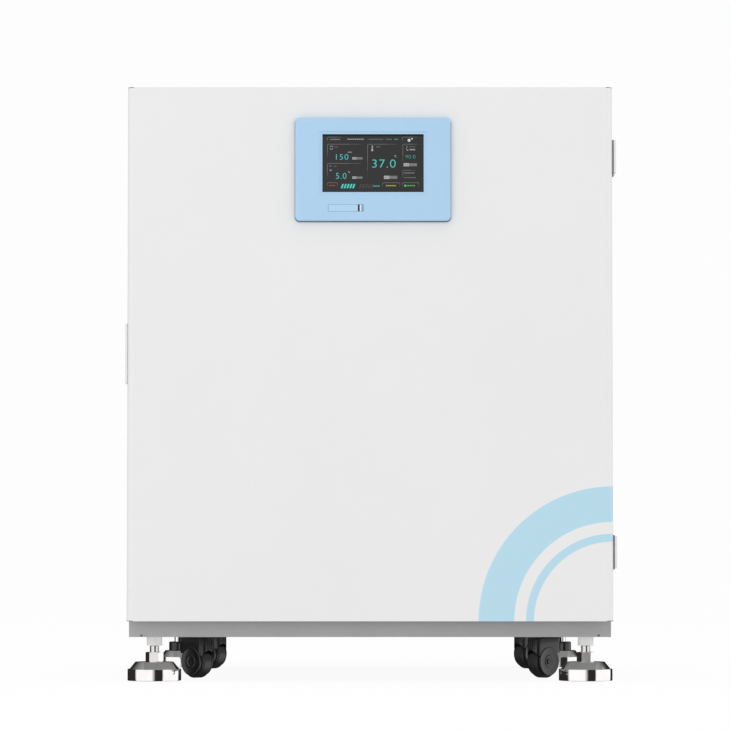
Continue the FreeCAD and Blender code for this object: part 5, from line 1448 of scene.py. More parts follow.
@dataclass
class Feet:
    """Four levelling feet: drum, cone, chamfered hex nut and ridged thread. Lengths are in mm."""

    drum: float = 41.5
    drum_height: float = 18.0
    rolled: float = 0.6
    rolled_steps: int = 3
    cone_base: float = 38.0
    cone_top: float = 29.5
    cone_high: float = 29.0
    cone_edge: float = 0.4
    nut_flats: float = 24.0
    nut_height: float = 15.0
    chamfer: float = 0.9
    chamfer_steps: int = 4
    chamfer_start: float = 1.02
    chamfer_slope: float = 1.9
    bore: float = 7.5
    root: float = 6.7
    pitch: float = 2.0
    crest: Pair = (0.42, 0.58)
    thread_wall: float = 0.8
    core_lap: float = 0.2
    top: float = 78.0

    def body_profile(self) -> Profile:
        """Drum and cone, with rolled edges.

        Returns:
            Radius and height pairs in mm.
        """
        edge, steps, top = self.rolled, self.rolled_steps, self.drum_height
        rim = []
        for height, way in ((edge, -1), (top - edge, 1)):
            for step in range(steps + 1):
                angle = math.pi / 2 * (step / steps if way > 0 else 1 - step / steps)
                rim.append((self.drum - edge * (1 - math.cos(angle)), height + way * edge * math.sin(angle)))
        return [
            (0, 0), *rim, (self.cone_base + edge, top), (self.cone_base, top + edge),
            (self.cone_top + self.cone_edge, self.cone_high - self.cone_edge),
            (self.cone_top - self.cone_edge, self.cone_high), (0, self.cone_high),
        ]

    def nut_profile(self) -> Profile:
        """Hex nut whose ends are cut by a cone.

        Returns:
            Radius and height pairs in mm.
        """
        low, high = self.cone_high, self.cone_high + self.nut_height
        rises = [self.chamfer * level / self.chamfer_steps for level in range(self.chamfer_steps + 1)]
        lower = [(self.cut_ring(rise), low + rise) for rise in rises]
        upper = [(self.cut_ring(rise), high - rise) for rise in reversed(rises)]
        return [(0, low), *lower, *upper, (0, high)]

    def cut_ring(self, rise: float) -> Callable[[float], float]:
        """The nut's edge where the end cone cuts it, at a rise above the end.

        Args:
            rise: The rise in mm.

        Returns:
            The edge's distance from the middle, by its angle.
        """
        edge = hexagon(self.nut_flats)
        cone = self.nut_flats / 2 * self.chamfer_start + rise * self.chamfer_slope
        return lambda angle: min(edge(angle), cone)

    def thread_profile(self) -> Profile:
        """One ridge of the thread.

        Returns:
            Radius and height pairs in mm.
        """
        inner, low, high = self.root - self.thread_wall, *(share * self.pitch for share in self.crest)
        return [
            (self.root, 0), (self.bore, low), (self.bore, high), (self.root, self.pitch), (inner, self.pitch),
            (inner, 0),
        ]

    def build(self) -> None:
        """Make each foot in place of its plain solid."""
        start = self.cone_high + self.nut_height
        core = self.root - self.thread_wall + self.core_lap
        run: Run = (int((self.top - start) / self.pitch), (0.0, 0.0, self.pitch))
        for name in FEET:
            middle = Box.of(name).middle
            at = (middle.x, middle.y, 0.0)
            ridge = lathe(self.thread_profile(), sides=40)
            thread = grid(ridge, Finishes.chrome, (*at[:2], start), run)
            solids = [
                lathe(self.body_profile(), sides=96), lathe(self.nut_profile(), sides=72, smooth_below=12.0),
                lathe([(0, start), (core, start), (core, self.top), (0, self.top)], sides=40),
            ]
            mesh = joined([*(moved(solid, at) for solid in solids), thread])
            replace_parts(ride(f"{name}_levelling", mesh, Finishes.chrome, name), name)


@dataclass
class Casters:
    """Swivel casters: hood with its arched end, head, cheek discs and axle nuts. Lengths are in mm."""

    stem_radius: float = 6.0
    head_radius: float = 14.5
    head_low: float = 43.0
    head_high: float = 57.5
    head_wall: float = 3.0
    head_edges: Pair = (1.0, 1.4)
    bore: float = 6.4
    neck_start: float = 6.5
    neck_inset: float = 2.0
    neck_edge: float = 1.2
    hood_start: float = 14.0
    hood_end: float = 71.5
    hood_width: float = 26.0
    hood_top: float = 66.5
    hood_corner: float = 9.0
    hood_roof: float = 2.6
    hood_crown: Outline = ((0.0, 4.2), (0.5, 2.4), (1.7, 0.9), (3.4, 0.15), (5.0, 0.0))
    longest_step: float = 1.6
    wall: float = 2.2
    skirt: float = 39.7
    end_skirt: float = 35.5
    drop_start: float = 14.0
    drop_length: float = 10.0
    arch_half: float = 11.0
    arch_rise: float = 9.0
    rib: Profile = ((0, 0), (0.9, 0.6), (0.9, 18.0), (0.5, 19.4), (0, 19.8))
    rib_low: float = 45.0
    rib_pitch: float = 4.2
    rib_count: int = 4
    cheek_inside: float = 10.6
    cheek: Profile = (
        (0, 2.6), (4.4, 2.6), (4.4, 0), (21.6, 0), (22.5, 0.9), (22.5, 2.7), (21.8, 3.4), (20.5, 3.6),
        (19.5, 3.1), (10.6, 3.1), (9.8, 3.7), (8.2, 3.9), (7.2, 3.4), (5.2, 3.3), (hexagon(9.0), 3.4),
        (hexagon(9.0), 4.6), (2.6, 4.6), (2.2, 4.0), (0, 4.0),
    )

    def skirt_level(self, across: float, along: float) -> float:
        """Height of the hood's lower edge: lower at the trailing end, with an arch over the wheel.

        Args:
            across: How far to the side, in mm.
            along: How far from the stem, in mm.

        Returns:
            The height in mm.
        """
        near = min(1.0, max(0.0, (along - self.hood_end + self.drop_start) / self.drop_length))
        level = self.skirt + (self.end_skirt - self.skirt) * near
        if along > self.hood_end - self.hood_corner / 2 and abs(across) < self.arch_half:
            level += self.arch_rise * math.sqrt(1 - (across / self.arch_half) ** 2)
        return level

    def hood(self) -> Mesh:
        """The hollow hood, open below, trailing along +X from the stem.

        Returns:
            The mesh, with the stem on the origin.
        """
        length = self.hood_end - self.hood_start
        middle = (self.hood_end + self.hood_start) / 2
        corners = rounded_outline(length, self.hood_width, self.hood_corner, steps=7)
        rim = divided([(middle + x, y) for x, y in corners], self.longest_step)
        edge = [self.skirt_level(y, x) for x, y in rim]
        inner = inset(rim, self.wall)
        loops = [[(x, y, self.hood_top - self.hood_roof) for x, y in inner]]
        for outline in (inner, rim):
            loops.append([(x, y, z) for (x, y), z in zip(outline, edge)])
        for depth, drop in self.hood_crown:
            loops.append([(x, y, self.hood_top - drop) for x, y in inset(rim, depth)])
        return stacked(loops)

    def head(self) -> Mesh:
        """The round head about the stem, with the neck that carries the hood.

        Returns:
            The mesh, with the stem on the origin.
        """
        low, high, reach = self.head_low, self.head_high, self.head_radius
        floor = low + self.head_wall
        under, over = self.head_edges
        ring = lathe([
            (0, low), (reach - under, low), (reach, low + under), (reach, high - over), (reach - over, high),
            (self.bore, high), (self.bore, floor), (0, floor),
        ], sides=48)
        length = self.hood_start + self.wall - self.neck_start
        neck = block((length, self.hood_width - 2 * self.neck_inset, high - low - under), self.neck_edge)
        return joined([ring, moved(neck, (self.neck_start + length / 2, 0, (low + high) / 2))])

    def stem(self, name: str) -> Vector:
        """Where a caster's stem stands, from the outer corners of all four.

        Args:
            name: The caster.

        Returns:
            The place in mm, on the floor.
        """
        stems, radius = Box.of("caster_stems"), self.stem_radius
        return Vector((
            stems.high.x - radius if "right" in name else stems.low.x + radius,
            stems.low.y + radius if "front" in name else stems.high.y - radius,
            0.0,
        ))

    def build(self) -> None:
        """Make each caster's hood with its cheeks in place of the plain one."""
        for name in CASTERS:
            axle, stem = Box.of(f"{name}_wheel").middle, self.stem(name)
            trail = axle - stem
            turn = Matrix.Rotation(math.atan2(trail.y, trail.x), 4, "Z")
            parts = [moved(mesh, stem, turn) for mesh in (self.hood(), self.head())]
            for way, facing in ((-1, Facing.FRONT), (1, Facing.BACK)):
                side = turn @ Vector((0, way * self.cheek_inside, 0))
                parts.append(moved(lathe(self.cheek, sides=72), axle + side, turn @ facing.matrix()))
            half = self.rib_pitch * (self.rib_count - 1) / 2
            first = stem + turn @ Vector((self.hood_end, -half, self.rib_low))
            step = tuple(turn @ Vector((0, self.rib_pitch, 0)))
            rib = lathe(self.rib, sides=12)
            parts.append(grid(rib, Finishes.caster, first, (self.rib_count, step)))
            hood = ride(f"{name}_hood_shell", joined(parts), Finishes.caster, f"{name}_swivel")
            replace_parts(hood, f"{name}_hood")


@dataclass
class Door:
    """Inner panel screws, gasket, hinge screws and pin ends. Lengths are in mm."""

    screw_margin: float = 16.0
    screw_count: int = 28
    gasket_width: float = 14.0
    gasket_corner: float = 12.0
    bellows: Outline = (
        (1.0, 0.0), (1.0, 0.2), (0.72, 0.28), (0.62, 0.40), (0.9, 0.5), (0.62, 0.6), (0.8, 0.72),
        (0.95, 0.82), (0.88, 0.97), (0.6, 1.0),
    )
    hinge_rise: float = 605.0
    leaf_face: float = 373.0
    leaf_inset: float = 9.0
    leaf_rise: float = 11.0
    leaf_pitch: float = 28.0
    pin_inset: float = 5.5
    dome: Profile = ((0, 0), (4.9, 0), (4.7, 0.7), (3.6, 1.4), (1.9, 1.8), (0, 1.9))

    def build_inner_screws(self) -> None:
        """Screws round the edge of the door's inner panel."""
        box = Box.of("door_inner_panel")
        head = screw_head(radius=3.2, height=1.6, facing=Facing.BACK)
        mesh = repeated(
            frame_tree, head, Finishes.bright_steel, Count=self.screw_count,
            Width=box.size.x - 2 * self.screw_margin, Height=box.size.z - 2 * self.screw_margin,
            Middle=(0.0, box.high.y, box.middle.z),
        )
        ride("inner_panel_screws", mesh, Finishes.bright_steel, "door")

    def gasket_section(self, deep: float) -> Mesh:
        """The gasket's outline as a closed loop of edges, from shares of its half width and its depth.

        Args:
            deep: The gasket's depth in mm.

        Returns:
            The section.
        """
        half = self.gasket_width / 2
        right = [(across * half, up * deep) for across, up in self.bellows]
        outline = right + [(-across, up) for across, up in reversed(right)]
        shape = bmesh.new()
        rim = [shape.verts.new(Vector((across, up, 0)) * MM) for across, up in outline]
        for first, second in zip(rim, rim[1:] + rim[:1]):
            shape.edges.new((first, second))
        return closed(shape)

    def build_gasket(self) -> None:
        """The magnetic gasket with its bellows, in place of the plain frame."""
        box = Box.of("door_gasket")
        mesh = repeated(
            sweep_tree, self.gasket_section(box.size.y), Finishes.gasket,
            Width=box.size.x - self.gasket_width, Height=box.size.z - self.gasket_width,
            Corner=self.gasket_corner, Middle=(box.middle.x, box.low.y, box.middle.z),
        )
        for spot in mesh.vertices:
            spot.co.y = min(max(spot.co.y, box.low.y * MM), box.high.y * MM)
        gasket = ride("door_gasket_bellows", mesh_from(opened([mesh])), Finishes.gasket, "door")
        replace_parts(gasket, "door_gasket")

    def build_hinge_screws(self) -> None:
        """Leaf screws and domed pin ends of the hinges."""
        box, up = Box.of("cabinet_hinges"), (0.0, 0.0, self.hinge_rise)
        start = (self.leaf_face, box.high.y - self.leaf_inset, box.low.z + self.leaf_rise)
        head = screw_head(radius=3.4, height=1.6, facing=Facing.RIGHT)
        mesh = grid(head, Finishes.bright_steel, start, (2, up), (2, (0.0, 0.0, self.leaf_pitch)))
        ride("hinge_leaf_screws", mesh, Finishes.bright_steel)
        parts = []
        for facing, level in ((Facing.DOWN, box.low.z), (Facing.UP, box.high.z - self.hinge_rise)):
            start = (box.middle.x, box.low.y + self.pin_inset, level)
            dome = turned(self.dome, facing, sides=28)
            parts.append(grid(dome, Finishes.hinge_steel, start, (2, up)))
        ride("hinge_pin_ends", joined(parts), Finishes.hinge_steel)

    def build(self) -> None:
        """Make all pieces of the door."""
        self.build_inner_screws()
        self.build_gasket()
        self.build_hinge_screws()


@dataclass
class Drive:
    """Bolts, motor fins, tray inserts and inside fittings. Lengths are in mm."""

    insert: Profile = ((2.7, -3.0), (4.4, -3.0), (4.4, 0.0), (5.2, 0.0), (5.0, 0.6), (3.1, 0.6), (2.7, 0.2))
    inserts_across: int = 8
    inserts_deep: int = 7
    insert_pitch: float = 60.0
    insert_side: float = 40.0
    insert_end: float = 50.0
    bolt: Profile = (
        (0, 0), (4.2, 0), (4.2, 0.8), (hexagon(6.4), 0.9), (hexagon(6.4), 3.6), (2.4, 4.0), (0, 4.0)
    )
    bolts: int = 6
    flange: float = 8.0
    crank_circle: float = 46.0
    idler_circle: float = 31.0
    idler_reach: float = 149.5
    idler_bearings: tuple[float, ...] = (90.0, 210.0, 330.0)
    fins: int = 40
    fin: Point = (4.0, 2.0, 18.0)
    fin_out: float = 0.9
    fin_lift: float = 3.0
    motor_radius: float = 70.0
    baffle_inset: float = 9.0
    band: Profile = ((3.8, 0), (4.5, 0.2), (4.5, 1.0), (3.8, 1.2))
    bands: Run = (9, (0.0, 2.2, 0.0))
    band_start: float = 2.0
    board_face: float = 9.0
    can: Profile = ((0, 0), (6.0, 0), (6.0, 15.0), (5.4, 16.0), (4.6, 15.6), (0, 15.6))
    can_corner: Pair = (34.0, 60.0)
    can_columns: Run = (4, (17.0, 0.0, 0.0))
    can_rows: Run = (2, (0.0, 0.0, 110.0))
    post: Point = (7.0, 11.0, 9.0)
    post_corner: Pair = (26.0, 14.0)
    post_columns: Run = (12, (8.0, 0.0, 0.0))

    def build_inserts(self) -> None:
        """Threaded bushings in the clamp holes of the tray."""
        box, pitch = Box.of("platform_tray"), self.insert_pitch
        start = (box.low.x + self.insert_side, box.low.y + self.insert_end, box.high.z)
        rows, columns = (self.inserts_deep, (0.0, pitch, 0.0)), (self.inserts_across, (pitch, 0.0, 0.0))
        mesh = grid(lathe(self.insert, sides=20), Finishes.bright_steel, start, rows, columns)
        ride("tray_inserts", mesh, Finishes.bright_steel, "platform")

    def build_bolts(self) -> None:
        """Bolts round the flange of each bearing housing: the crank's, then the three idlers'."""
        hub, top = Box.of("crank_pulley").middle, Box.of("bearing_housings").low.z + self.flange
        flanges = [(hub.x, hub.y, self.crank_circle)]
        for bearing in map(math.radians, self.idler_bearings):
            x, y = hub.x + self.idler_reach * math.cos(bearing), hub.y + self.idler_reach * math.sin(bearing)
            flanges.append((x, y, self.idler_circle))
        parts = [
            repeated(
                ring_tree, lathe(self.bolt, sides=24), Finishes.bright_steel, Count=self.bolts,
                Radius=circle, Middle=(x, y, top),
            )
            for x, y, circle in flanges
        ]
        ride("housing_bolts", joined(parts), Finishes.bright_steel)

    def build_fins(self) -> None:
        """Cooling fins round the drive motor."""
        box = Box.of("drive_motor")
        thick, wide, short = self.fin
        fin = moved(block((thick, wide, box.size.z - short), edge=0.5), (self.fin_out, 0, 0))
        mesh = repeated(
            ring_tree, fin, Finishes.motor, Count=self.fins, Radius=self.motor_radius,
            Middle=tuple(box.middle + Vector((0, 0, self.fin_lift))),
        )
        ride("motor_fins", mesh, Finishes.motor)

    def build_baffle_screws(self) -> None:
        """Screws of the air baffle."""
        box = Box.of("air_baffle")
        head = screw_head(radius=3.6, height=1.8, facing=Facing.FRONT)
        mesh = edge_screws(box, head, box.low.y, self.baffle_inset, rows=4)
        ride("baffle_screws", mesh, Finishes.bright_steel)

    def build_guard(self) -> None:
        """The bands of the guard round the probe."""
        box = Box.of("sensor_probe")
        start = (box.middle.x, box.low.y + self.band_start, box.middle.z)
        mesh = grid(turned(self.band, Facing.BACK, sides=24), Finishes.bright_steel, start, self.bands)
        ride("probe_guard", mesh, Finishes.bright_steel)

    def build_board_parts(self) -> None:
        """Capacitors and terminal blocks on the main board."""
        box = Box.of("main_board")
        face = box.high.y - self.board_face
        across, rise = self.can_corner
        start = (box.low.x + across, face, box.low.z + rise)
        cans = grid(
            turned(self.can, Facing.BACK, sides=24), Finishes.pulley, start, self.can_rows, self.can_columns
        )
        ride("board_capacitors", cans, Finishes.pulley)
        across, rise = self.post_corner
        start = (box.low.x + across, face, box.low.z + rise)
        post = moved(block(self.post, edge=0.8), (0, self.post[1] / 2, 0))
        rows = (2, (0.0, 0.0, box.size.z - 2 * rise))
        posts = grid(post, Finishes.socket, start, rows, self.post_columns)
        ride("board_terminals", posts, Finishes.socket)

    def build(self) -> None:
        """Make all pieces inside the cabinet."""
        self.build_inserts()
        self.build_bolts()
        self.build_fins()
        self.build_baffle_screws()
        self.build_guard()
        self.build_board_parts()


# Control panel


class Ink(Enum):
    """The colours of the display, each a lit finish."""

    TEAL = Lit("lit_teal", (0.05, 0.62, 0.55), (0.06, 0.70, 0.62))
    SOFT_TEAL = Lit("lit_soft_teal", (0.03, 0.34, 0.30), (0.04, 0.40, 0.35))
    WHITE = Lit("lit_white", (0.60, 0.60, 0.60), (0.72, 0.72, 0.72))
    PALE = Lit("lit_pale", (0.38, 0.39, 0.40), (0.44, 0.45, 0.46))
    LINE = Lit("lit_grey", (0.24, 0.24, 0.24), (0.30, 0.30, 0.30))
    DIM = Lit("lit_dim", (0.13, 0.135, 0.14), (0.16, 0.165, 0.17))
    FAINT = Lit("lit_faint", (0.040, 0.032, 0.032), (0.048, 0.039, 0.039))
    RED = Lit("lit_red", (0.34, 0.035, 0.03), (0.40, 0.04, 0.035))
    YELLOW = Lit("lit_yellow", (0.40, 0.36, 0.05), (0.48, 0.43, 0.07))
    GREEN = Lit("lit_green", (0.05, 0.42, 0.07), (0.07, 0.52, 0.09))


@dataclass(frozen=True)
class Mark:
    """A flat mark of the display, in mm from the screen's top left corner."""

    ink: Ink

    def outline(self) -> list[Pair]:
        """The corners, across and up; none where mesh makes the mark another way."""
        return []

    def mesh(self, film: float) -> Mesh:
        """The mark as a plate of the film's thickness."""
        return plate(self.outline(), film)


@dataclass(frozen=True)
class Bar(Mark):
    """A filled bar: left, top, right, bottom, and how far its top leans to the right."""

    left: float
    top: float
    right: float
    bottom: float
    lean: float = 0.0

    def outline(self) -> list[Pair]:
        """The corners, across and up.

        Returns:
            The points, from the lower left one round to the upper left one.
        """
        return [
            (self.left, -self.bottom), (self.right, -self.bottom),
            (self.right + self.lean, -self.top), (self.left + self.lean, -self.top),
        ]


@dataclass(frozen=True)
class Arc(Mark):
    """A bent line: middle, radius and two bearings in degrees, from the right and upwards."""

    across: float
    down: float
    radius: float
    start: float
    end: float
    line: float = 0.4
    steps: int = 7

    def outline(self) -> list[Pair]:
        """The corners, across and up.

        Returns:
            The points, from the outside round to the inside.
        """
        span = (self.end - self.start) / self.steps
        bearings = [math.radians(self.start + span * step) for step in range(self.steps + 1)]
        middle = (self.across, -self.down)
        outside = [on_circle(self.radius, bearing, middle) for bearing in bearings]
        inside = [on_circle(self.radius - self.line, bearing, middle) for bearing in reversed(bearings)]
        return outside + inside


@dataclass(frozen=True)
class Disc(Mark):
    """A round mark: middle and radius."""

    across: float
    down: float
    radius: float
    steps: int = 20

    def outline(self) -> list[Pair]:
        """The corners, across and up."""
        bearings = (math.tau * step / self.steps for step in range(self.steps))
        return [on_circle(self.radius, bearing, (self.across, -self.down)) for bearing in bearings]


@dataclass(frozen=True)
class Number(Mark):
    """Digits: text and its box."""

    text: str
    left: float
    top: float
    right: float
    bottom: float

    def mesh(self, film: float) -> Mesh:
        """The digits as plates of the film's thickness."""
        shape = figure(self.text, self.right - self.left, self.bottom - self.top, film)
        return moved(shape, (self.left, 0, -self.bottom))


BEND = 1.8
LINE_WIDTH = 0.4
FADE_ACROSS = (0.6, 0.7)
FADE_DOWN = (0.5, 0.5)
DASH_SHARE = 0.74
BUTTON_MARGIN = 0.2
BUTTON_DASHES = (0.8, 0.9)
PILL_SPLIT = 0.4
PILL_MARGIN = 0.32
PILL_GAPS = (1.2, 0.6, 0.8)
SLASHES = 5
SLASH_PITCH = 4.35
SLASH_WIDTH = 2.5
SLASH_LEAN = 2.4
SLASH_ENDS = (76.2, 82.8)


def part_way(start: float, end: float, share: float) -> float:
    """The point at a share of the way from start to end."""
    return start + (end - start) * share


def card(left: float, top: float, right: float, bottom: float) -> list[Mark]:
    """The two lines of a card that meet in a round corner and fade out.

    Args:
        left, top, right, bottom: Its edges in mm.

    Returns:
        The marks.
    """
    half, low = part_way(left, right, FADE_ACROSS[0]), part_way(top, bottom, FADE_DOWN[0])
    third, lowest = part_way(half, right, FADE_ACROSS[1]), part_way(low, bottom, FADE_DOWN[1])
    return [
        Arc(Ink.LINE, left + BEND, top + BEND, BEND, 90, 180),
        Bar(Ink.LINE, left + BEND, top, half, top + LINE_WIDTH),
        Bar(Ink.DIM, half, top, third, top + LINE_WIDTH),
        Bar(Ink.FAINT, third, top, right, top + LINE_WIDTH),
        Bar(Ink.LINE, left, top + BEND, left + LINE_WIDTH, low),
        Bar(Ink.DIM, left, low, left + LINE_WIDTH, lowest),
        Bar(Ink.FAINT, left, lowest, left + LINE_WIDTH, bottom),
    ]


def dashes(ink: Ink, left: float, top: float, right: float, bottom: float, count: int) -> list[Mark]:
    """A row of short dashes.

    Args:
        ink: Their colour.
        left, top, right, bottom: The row's edges in mm.
        count: How many.

    Returns:
        The marks.
    """
    step = (right - left) / count
    return [Bar(ink, left + i * step, top, left + (i + DASH_SHARE) * step, bottom) for i in range(count)]


def button(ink: Ink, left: float, top: float, right: float, bottom: float) -> list[Mark]:
    """A button whose outline fades downwards, with dashes of its colour inside.

    Args:
        ink: The colour of its dashes.
        left, top, right, bottom: Its edges in mm.

    Returns:
        The marks.
    """
    half, (above, below) = (top + bottom) / 2, BUTTON_DASHES
    start, end = part_way(left, right, BUTTON_MARGIN), part_way(right, left, BUTTON_MARGIN)
    parts: list[Mark] = [
        Arc(Ink.LINE, left + BEND, top + BEND, BEND, 90, 180),
        Arc(Ink.LINE, right - BEND, top + BEND, BEND, 0, 90),
        Bar(Ink.LINE, left + BEND, top, right - BEND, top + LINE_WIDTH),
    ]
    for edge in (left, right - LINE_WIDTH):
        parts.append(Bar(Ink.DIM, edge, top + BEND, edge + LINE_WIDTH, half))
        parts.append(Bar(Ink.FAINT, edge, half, edge + LINE_WIDTH, bottom))
    return parts + dashes(ink, start, half - above, end, half + below, count=5)


def pill(left: float, top: float, right: float, bottom: float) -> list[Mark]:
    """A value field with a pale end and a grey rest.

    Args:
        left, top, right, bottom: Its edges in mm.

    Returns:
        The marks.
    """
    split = part_way(left, right, PILL_SPLIT)
    high, low = part_way(top, bottom, PILL_MARGIN), part_way(bottom, top, PILL_MARGIN)
    before, after, end = PILL_GAPS
    return [
        Bar(Ink.PALE, left, top, split, bottom), Bar(Ink.DIM, split, top, right, bottom),
        *dashes(Ink.DIM, left + before, high, split, low, count=2),
        *dashes(Ink.LINE, split + after, high, right - end, low, count=5),
    ]


def slashes(ink: Ink, left: float) -> list[Mark]:
    """A row of five leaning bars.

    Args:
        ink: Their colour.
        left: Where the row starts, in mm.

    Returns:
        The marks.
    """
    top, bottom = SLASH_ENDS
    starts = (left + index * SLASH_PITCH for index in range(SLASHES))
    return [Bar(ink, start, top, start + SLASH_WIDTH, bottom, SLASH_LEAN) for start in starts]


PICTURE: list[Mark] = [
    *card(7.5, 4.3, 32.0, 12.0), *dashes(Ink.LINE, 12.2, 7.4, 27.6, 8.7, 6),
    *dashes(Ink.PALE, 38.1, 7.1, 63.9, 8.4, 9), *dashes(Ink.DIM, 70.7, 7.2, 93.2, 8.6, 8),
    *dashes(Ink.DIM, 96.6, 7.2, 106.1, 8.6, 4), *dashes(Ink.SOFT_TEAL, 110.0, 7.2, 115.6, 8.6, 2),
    *card(121.7, 4.3, 146.9, 12.4), *card(7.5, 15.2, 63.2, 38.1), *card(7.5, 44.6, 63.2, 69.0),
    *card(68.7, 15.2, 116.5, 69.0), *card(122.4, 15.2, 146.9, 50.5), *card(122.4, 55.1, 143.5, 69.0),
    *dashes(Ink.PALE, 38.6, 27.0, 45.0, 28.2, 3), *pill(45.6, 35.2, 61.2, 38.8),
    *dashes(Ink.DIM, 18.8, 19.0, 23.6, 20.2, 2), *pill(45.6, 64.8, 61.2, 68.2),
    *dashes(Ink.DIM, 18.0, 48.4, 22.0, 49.6, 2), *dashes(Ink.LINE, 11.0, 48.2, 14.2, 49.4, 2),
    Bar(Ink.PALE, 11.2, 54.4, 14.0, 56.0), *pill(93.8, 63.6, 114.2, 68.6),
    Bar(Ink.PALE, 75.2, 17.4, 76.6, 23.4), *dashes(Ink.DIM, 82.0, 18.8, 88.2, 20.2, 3),
    Bar(Ink.LINE, 77.2, 18.6, 78.0, 19.2), Bar(Ink.LINE, 77.2, 20.6, 78.0, 21.2),
    *dashes(Ink.DIM, 132.4, 18.8, 141.8, 19.8, 4), *dashes(Ink.PALE, 133.0, 22.8, 141.8, 24.6, 4),
    *pill(123.8, 44.4, 144.2, 49.2), *dashes(Ink.LINE, 124.6, 58.8, 141.0, 60.0, 6),
    *dashes(Ink.FAINT, 124.6, 62.4, 134.0, 63.4, 3), *dashes(Ink.DIM, 124.6, 65.8, 143.0, 67.2, 7),
    *button(Ink.RED, 7.5, 74.1, 23.1, 83.0), *dashes(Ink.SOFT_TEAL, 77.6, 78.4, 87.8, 80.4, 4),
    *button(Ink.YELLOW, 91.5, 74.1, 118.3, 83.4), *button(Ink.GREEN, 121.7, 74.1, 146.9, 83.4),
    Arc(Ink.PALE, 13.9, 20.6, 2.9, 20, 150, 0.7), Arc(Ink.PALE, 13.9, 20.6, 2.9, 200, 330, 0.7),
    Arc(Ink.PALE, 110.6, 33.0, 1.1, 0, 340, 0.5), Arc(Ink.LINE, 112.6, 34.4, 1.5, 60, 300, 0.5),
    Arc(Ink.PALE, 40.0, 57.4, 1.1, 0, 340, 0.5), Arc(Ink.PALE, 41.4, 58.8, 0.9, 0, 340, 0.4),
    Arc(Ink.PALE, 129.6, 22.6, 2.0, 100, 320, 0.6), Arc(Ink.LINE, 128.8, 19.0, 1.2, 0, 340, 0.4),
    *slashes(Ink.TEAL, 28.0), *slashes(Ink.FAINT, 55.8),
    Number(Ink.TEAL, "150", 20.8, 30.8, 39.6, 39.0), Number(Ink.TEAL, "5.0", 20.6, 59.4, 36.6, 68.2),
    Number(Ink.TEAL, "37.0", 75.8, 38.8, 111.6, 51.2),
    Number(Ink.SOFT_TEAL, "90.0", 126.6, 31.9, 141.6, 37.2),
    Disc(Ink.WHITE, 132.1, 9.4, 2.3), Disc(Ink.WHITE, 136.6, 7.0, 1.2), Disc(Ink.PALE, 75.9, 24.6, 1.6),
    Disc(Ink.PALE, 129.9, 24.6, 0.8), Disc(Ink.GREEN, 126.2, 78.9, 1.8),
]


@dataclass(frozen=True)
class Badge:
    """A small rounded plate on the front of the USB cover. Lengths are in mm."""

    name: str
    finish: Finish
    across: float
    width: float
    height: float = 9.8
    corner: float = 0.5
    depth: float = 0.25
    edge: float = 0.08
    sunk: float = 0.12

    def build(self) -> None:
        """Make the plate, sunk a little in the cover."""
        cover = Box.of("usb_cover")
        outline = rounded_outline(self.width, self.height, self.corner, steps=3)
        shape = plate(outline, self.depth, self.edge)
        ride(
            self.name, moved(shape, (self.across, cover.low.y + self.sunk, cover.middle.z)), self.finish,
            "port_cover",
        )


@dataclass
class ControlPanel:
    """The display's picture, a dark rim behind the bezel that paints the shade under it, and the marks of the
    USB cover, one of them a painted shadow. Lengths are in mm.
    """

    film: float = 0.05
    float_gap: float = 0.02
    module_border: float = 5.0
    # Sizes of the dark rim that paints the shade round the bezel's lower edge.
    shade_rim_lap: float = 0.7
    shade_rim_wall: float = 1.6
    shade_rim_drop: float = 0.8
    shade_rim_corner: float = 7.5
    shade_rim_edge: float = 0.3
    badges: tuple[Badge, ...] = (
        # A flat dark plate over the nail notch: painted shadow of the notch, not a modelled recess.
        Badge("usb_cover_slot", Finishes.gap, -17.05, 2.7),
        Badge("usb_cover_strip", Finishes.hinge_cover, -14.25, 2.2),
        Badge("usb_cover_tab", Finishes.tab, -11.5, 2.3, 10.2, 0.6, 0.6, 0.15, 0.2),
    )

    def build_painted_shade_rim(self) -> None:
        """A dark slate rim between the bezel and the door, dropped a little so that it shows most below the
        bezel: painted shade where the bezel's underside and lower edge are in shadow, not a real part.
        """
        box, lap = Box.of("control_bezel"), 2 * self.shade_rim_lap
        outline = rounded_outline(box.size.x + lap, box.size.z + lap, self.shade_rim_corner, steps=8)
        at = (box.middle.x, box.high.y, box.middle.z - self.shade_rim_drop)
        ride("bezel_seal", moved(plate(outline, self.shade_rim_wall, self.shade_rim_edge), at), Finishes.painted_bezel_shade, "door")

    def build_picture(self) -> None:
        """Make one thin piece for each colour of the display."""
        box, border = Box.of("display_screen"), self.module_border
        corner = (box.low.x + border, box.low.y - self.float_gap, box.high.z - border)
        for ink in Ink:
            parts = [moved(mark.mesh(self.film), corner) for mark in PICTURE if mark.ink is ink]
            ride(f"display_{ink.name.lower()}", joined(parts), ink.value, "door")

    def build(self) -> None:
        """Make all pieces of the panel."""
        self.build_painted_shade_rim()
        self.build_picture()
        for badge in self.badges:
            badge.build()


# Studio


@dataclass(frozen=True)
class Lamp:
    """One soft rectangular lamp: its place, its aim and its size in metres, and its power in watts."""

    name: str
    place: Point
    aim: Point
    size: Pair
    power: float

    def build(self) -> None:
        """Make the lamp; neither the camera nor a reflection shows it."""
        data = bpy.data.lights.new(self.name, "AREA")
        data.shape = "RECTANGLE"
        data.size, data.size_y = self.size
        data.energy = self.power
        lamp = new_object(self.name, data)
        lamp.location = self.place
        lamp.rotation_euler = (Vector(self.aim) - Vector(self.place)).to_track_quat("-Z", "Y").to_euler()
        lamp.visible_glossy = False
        lamp.visible_camera = False


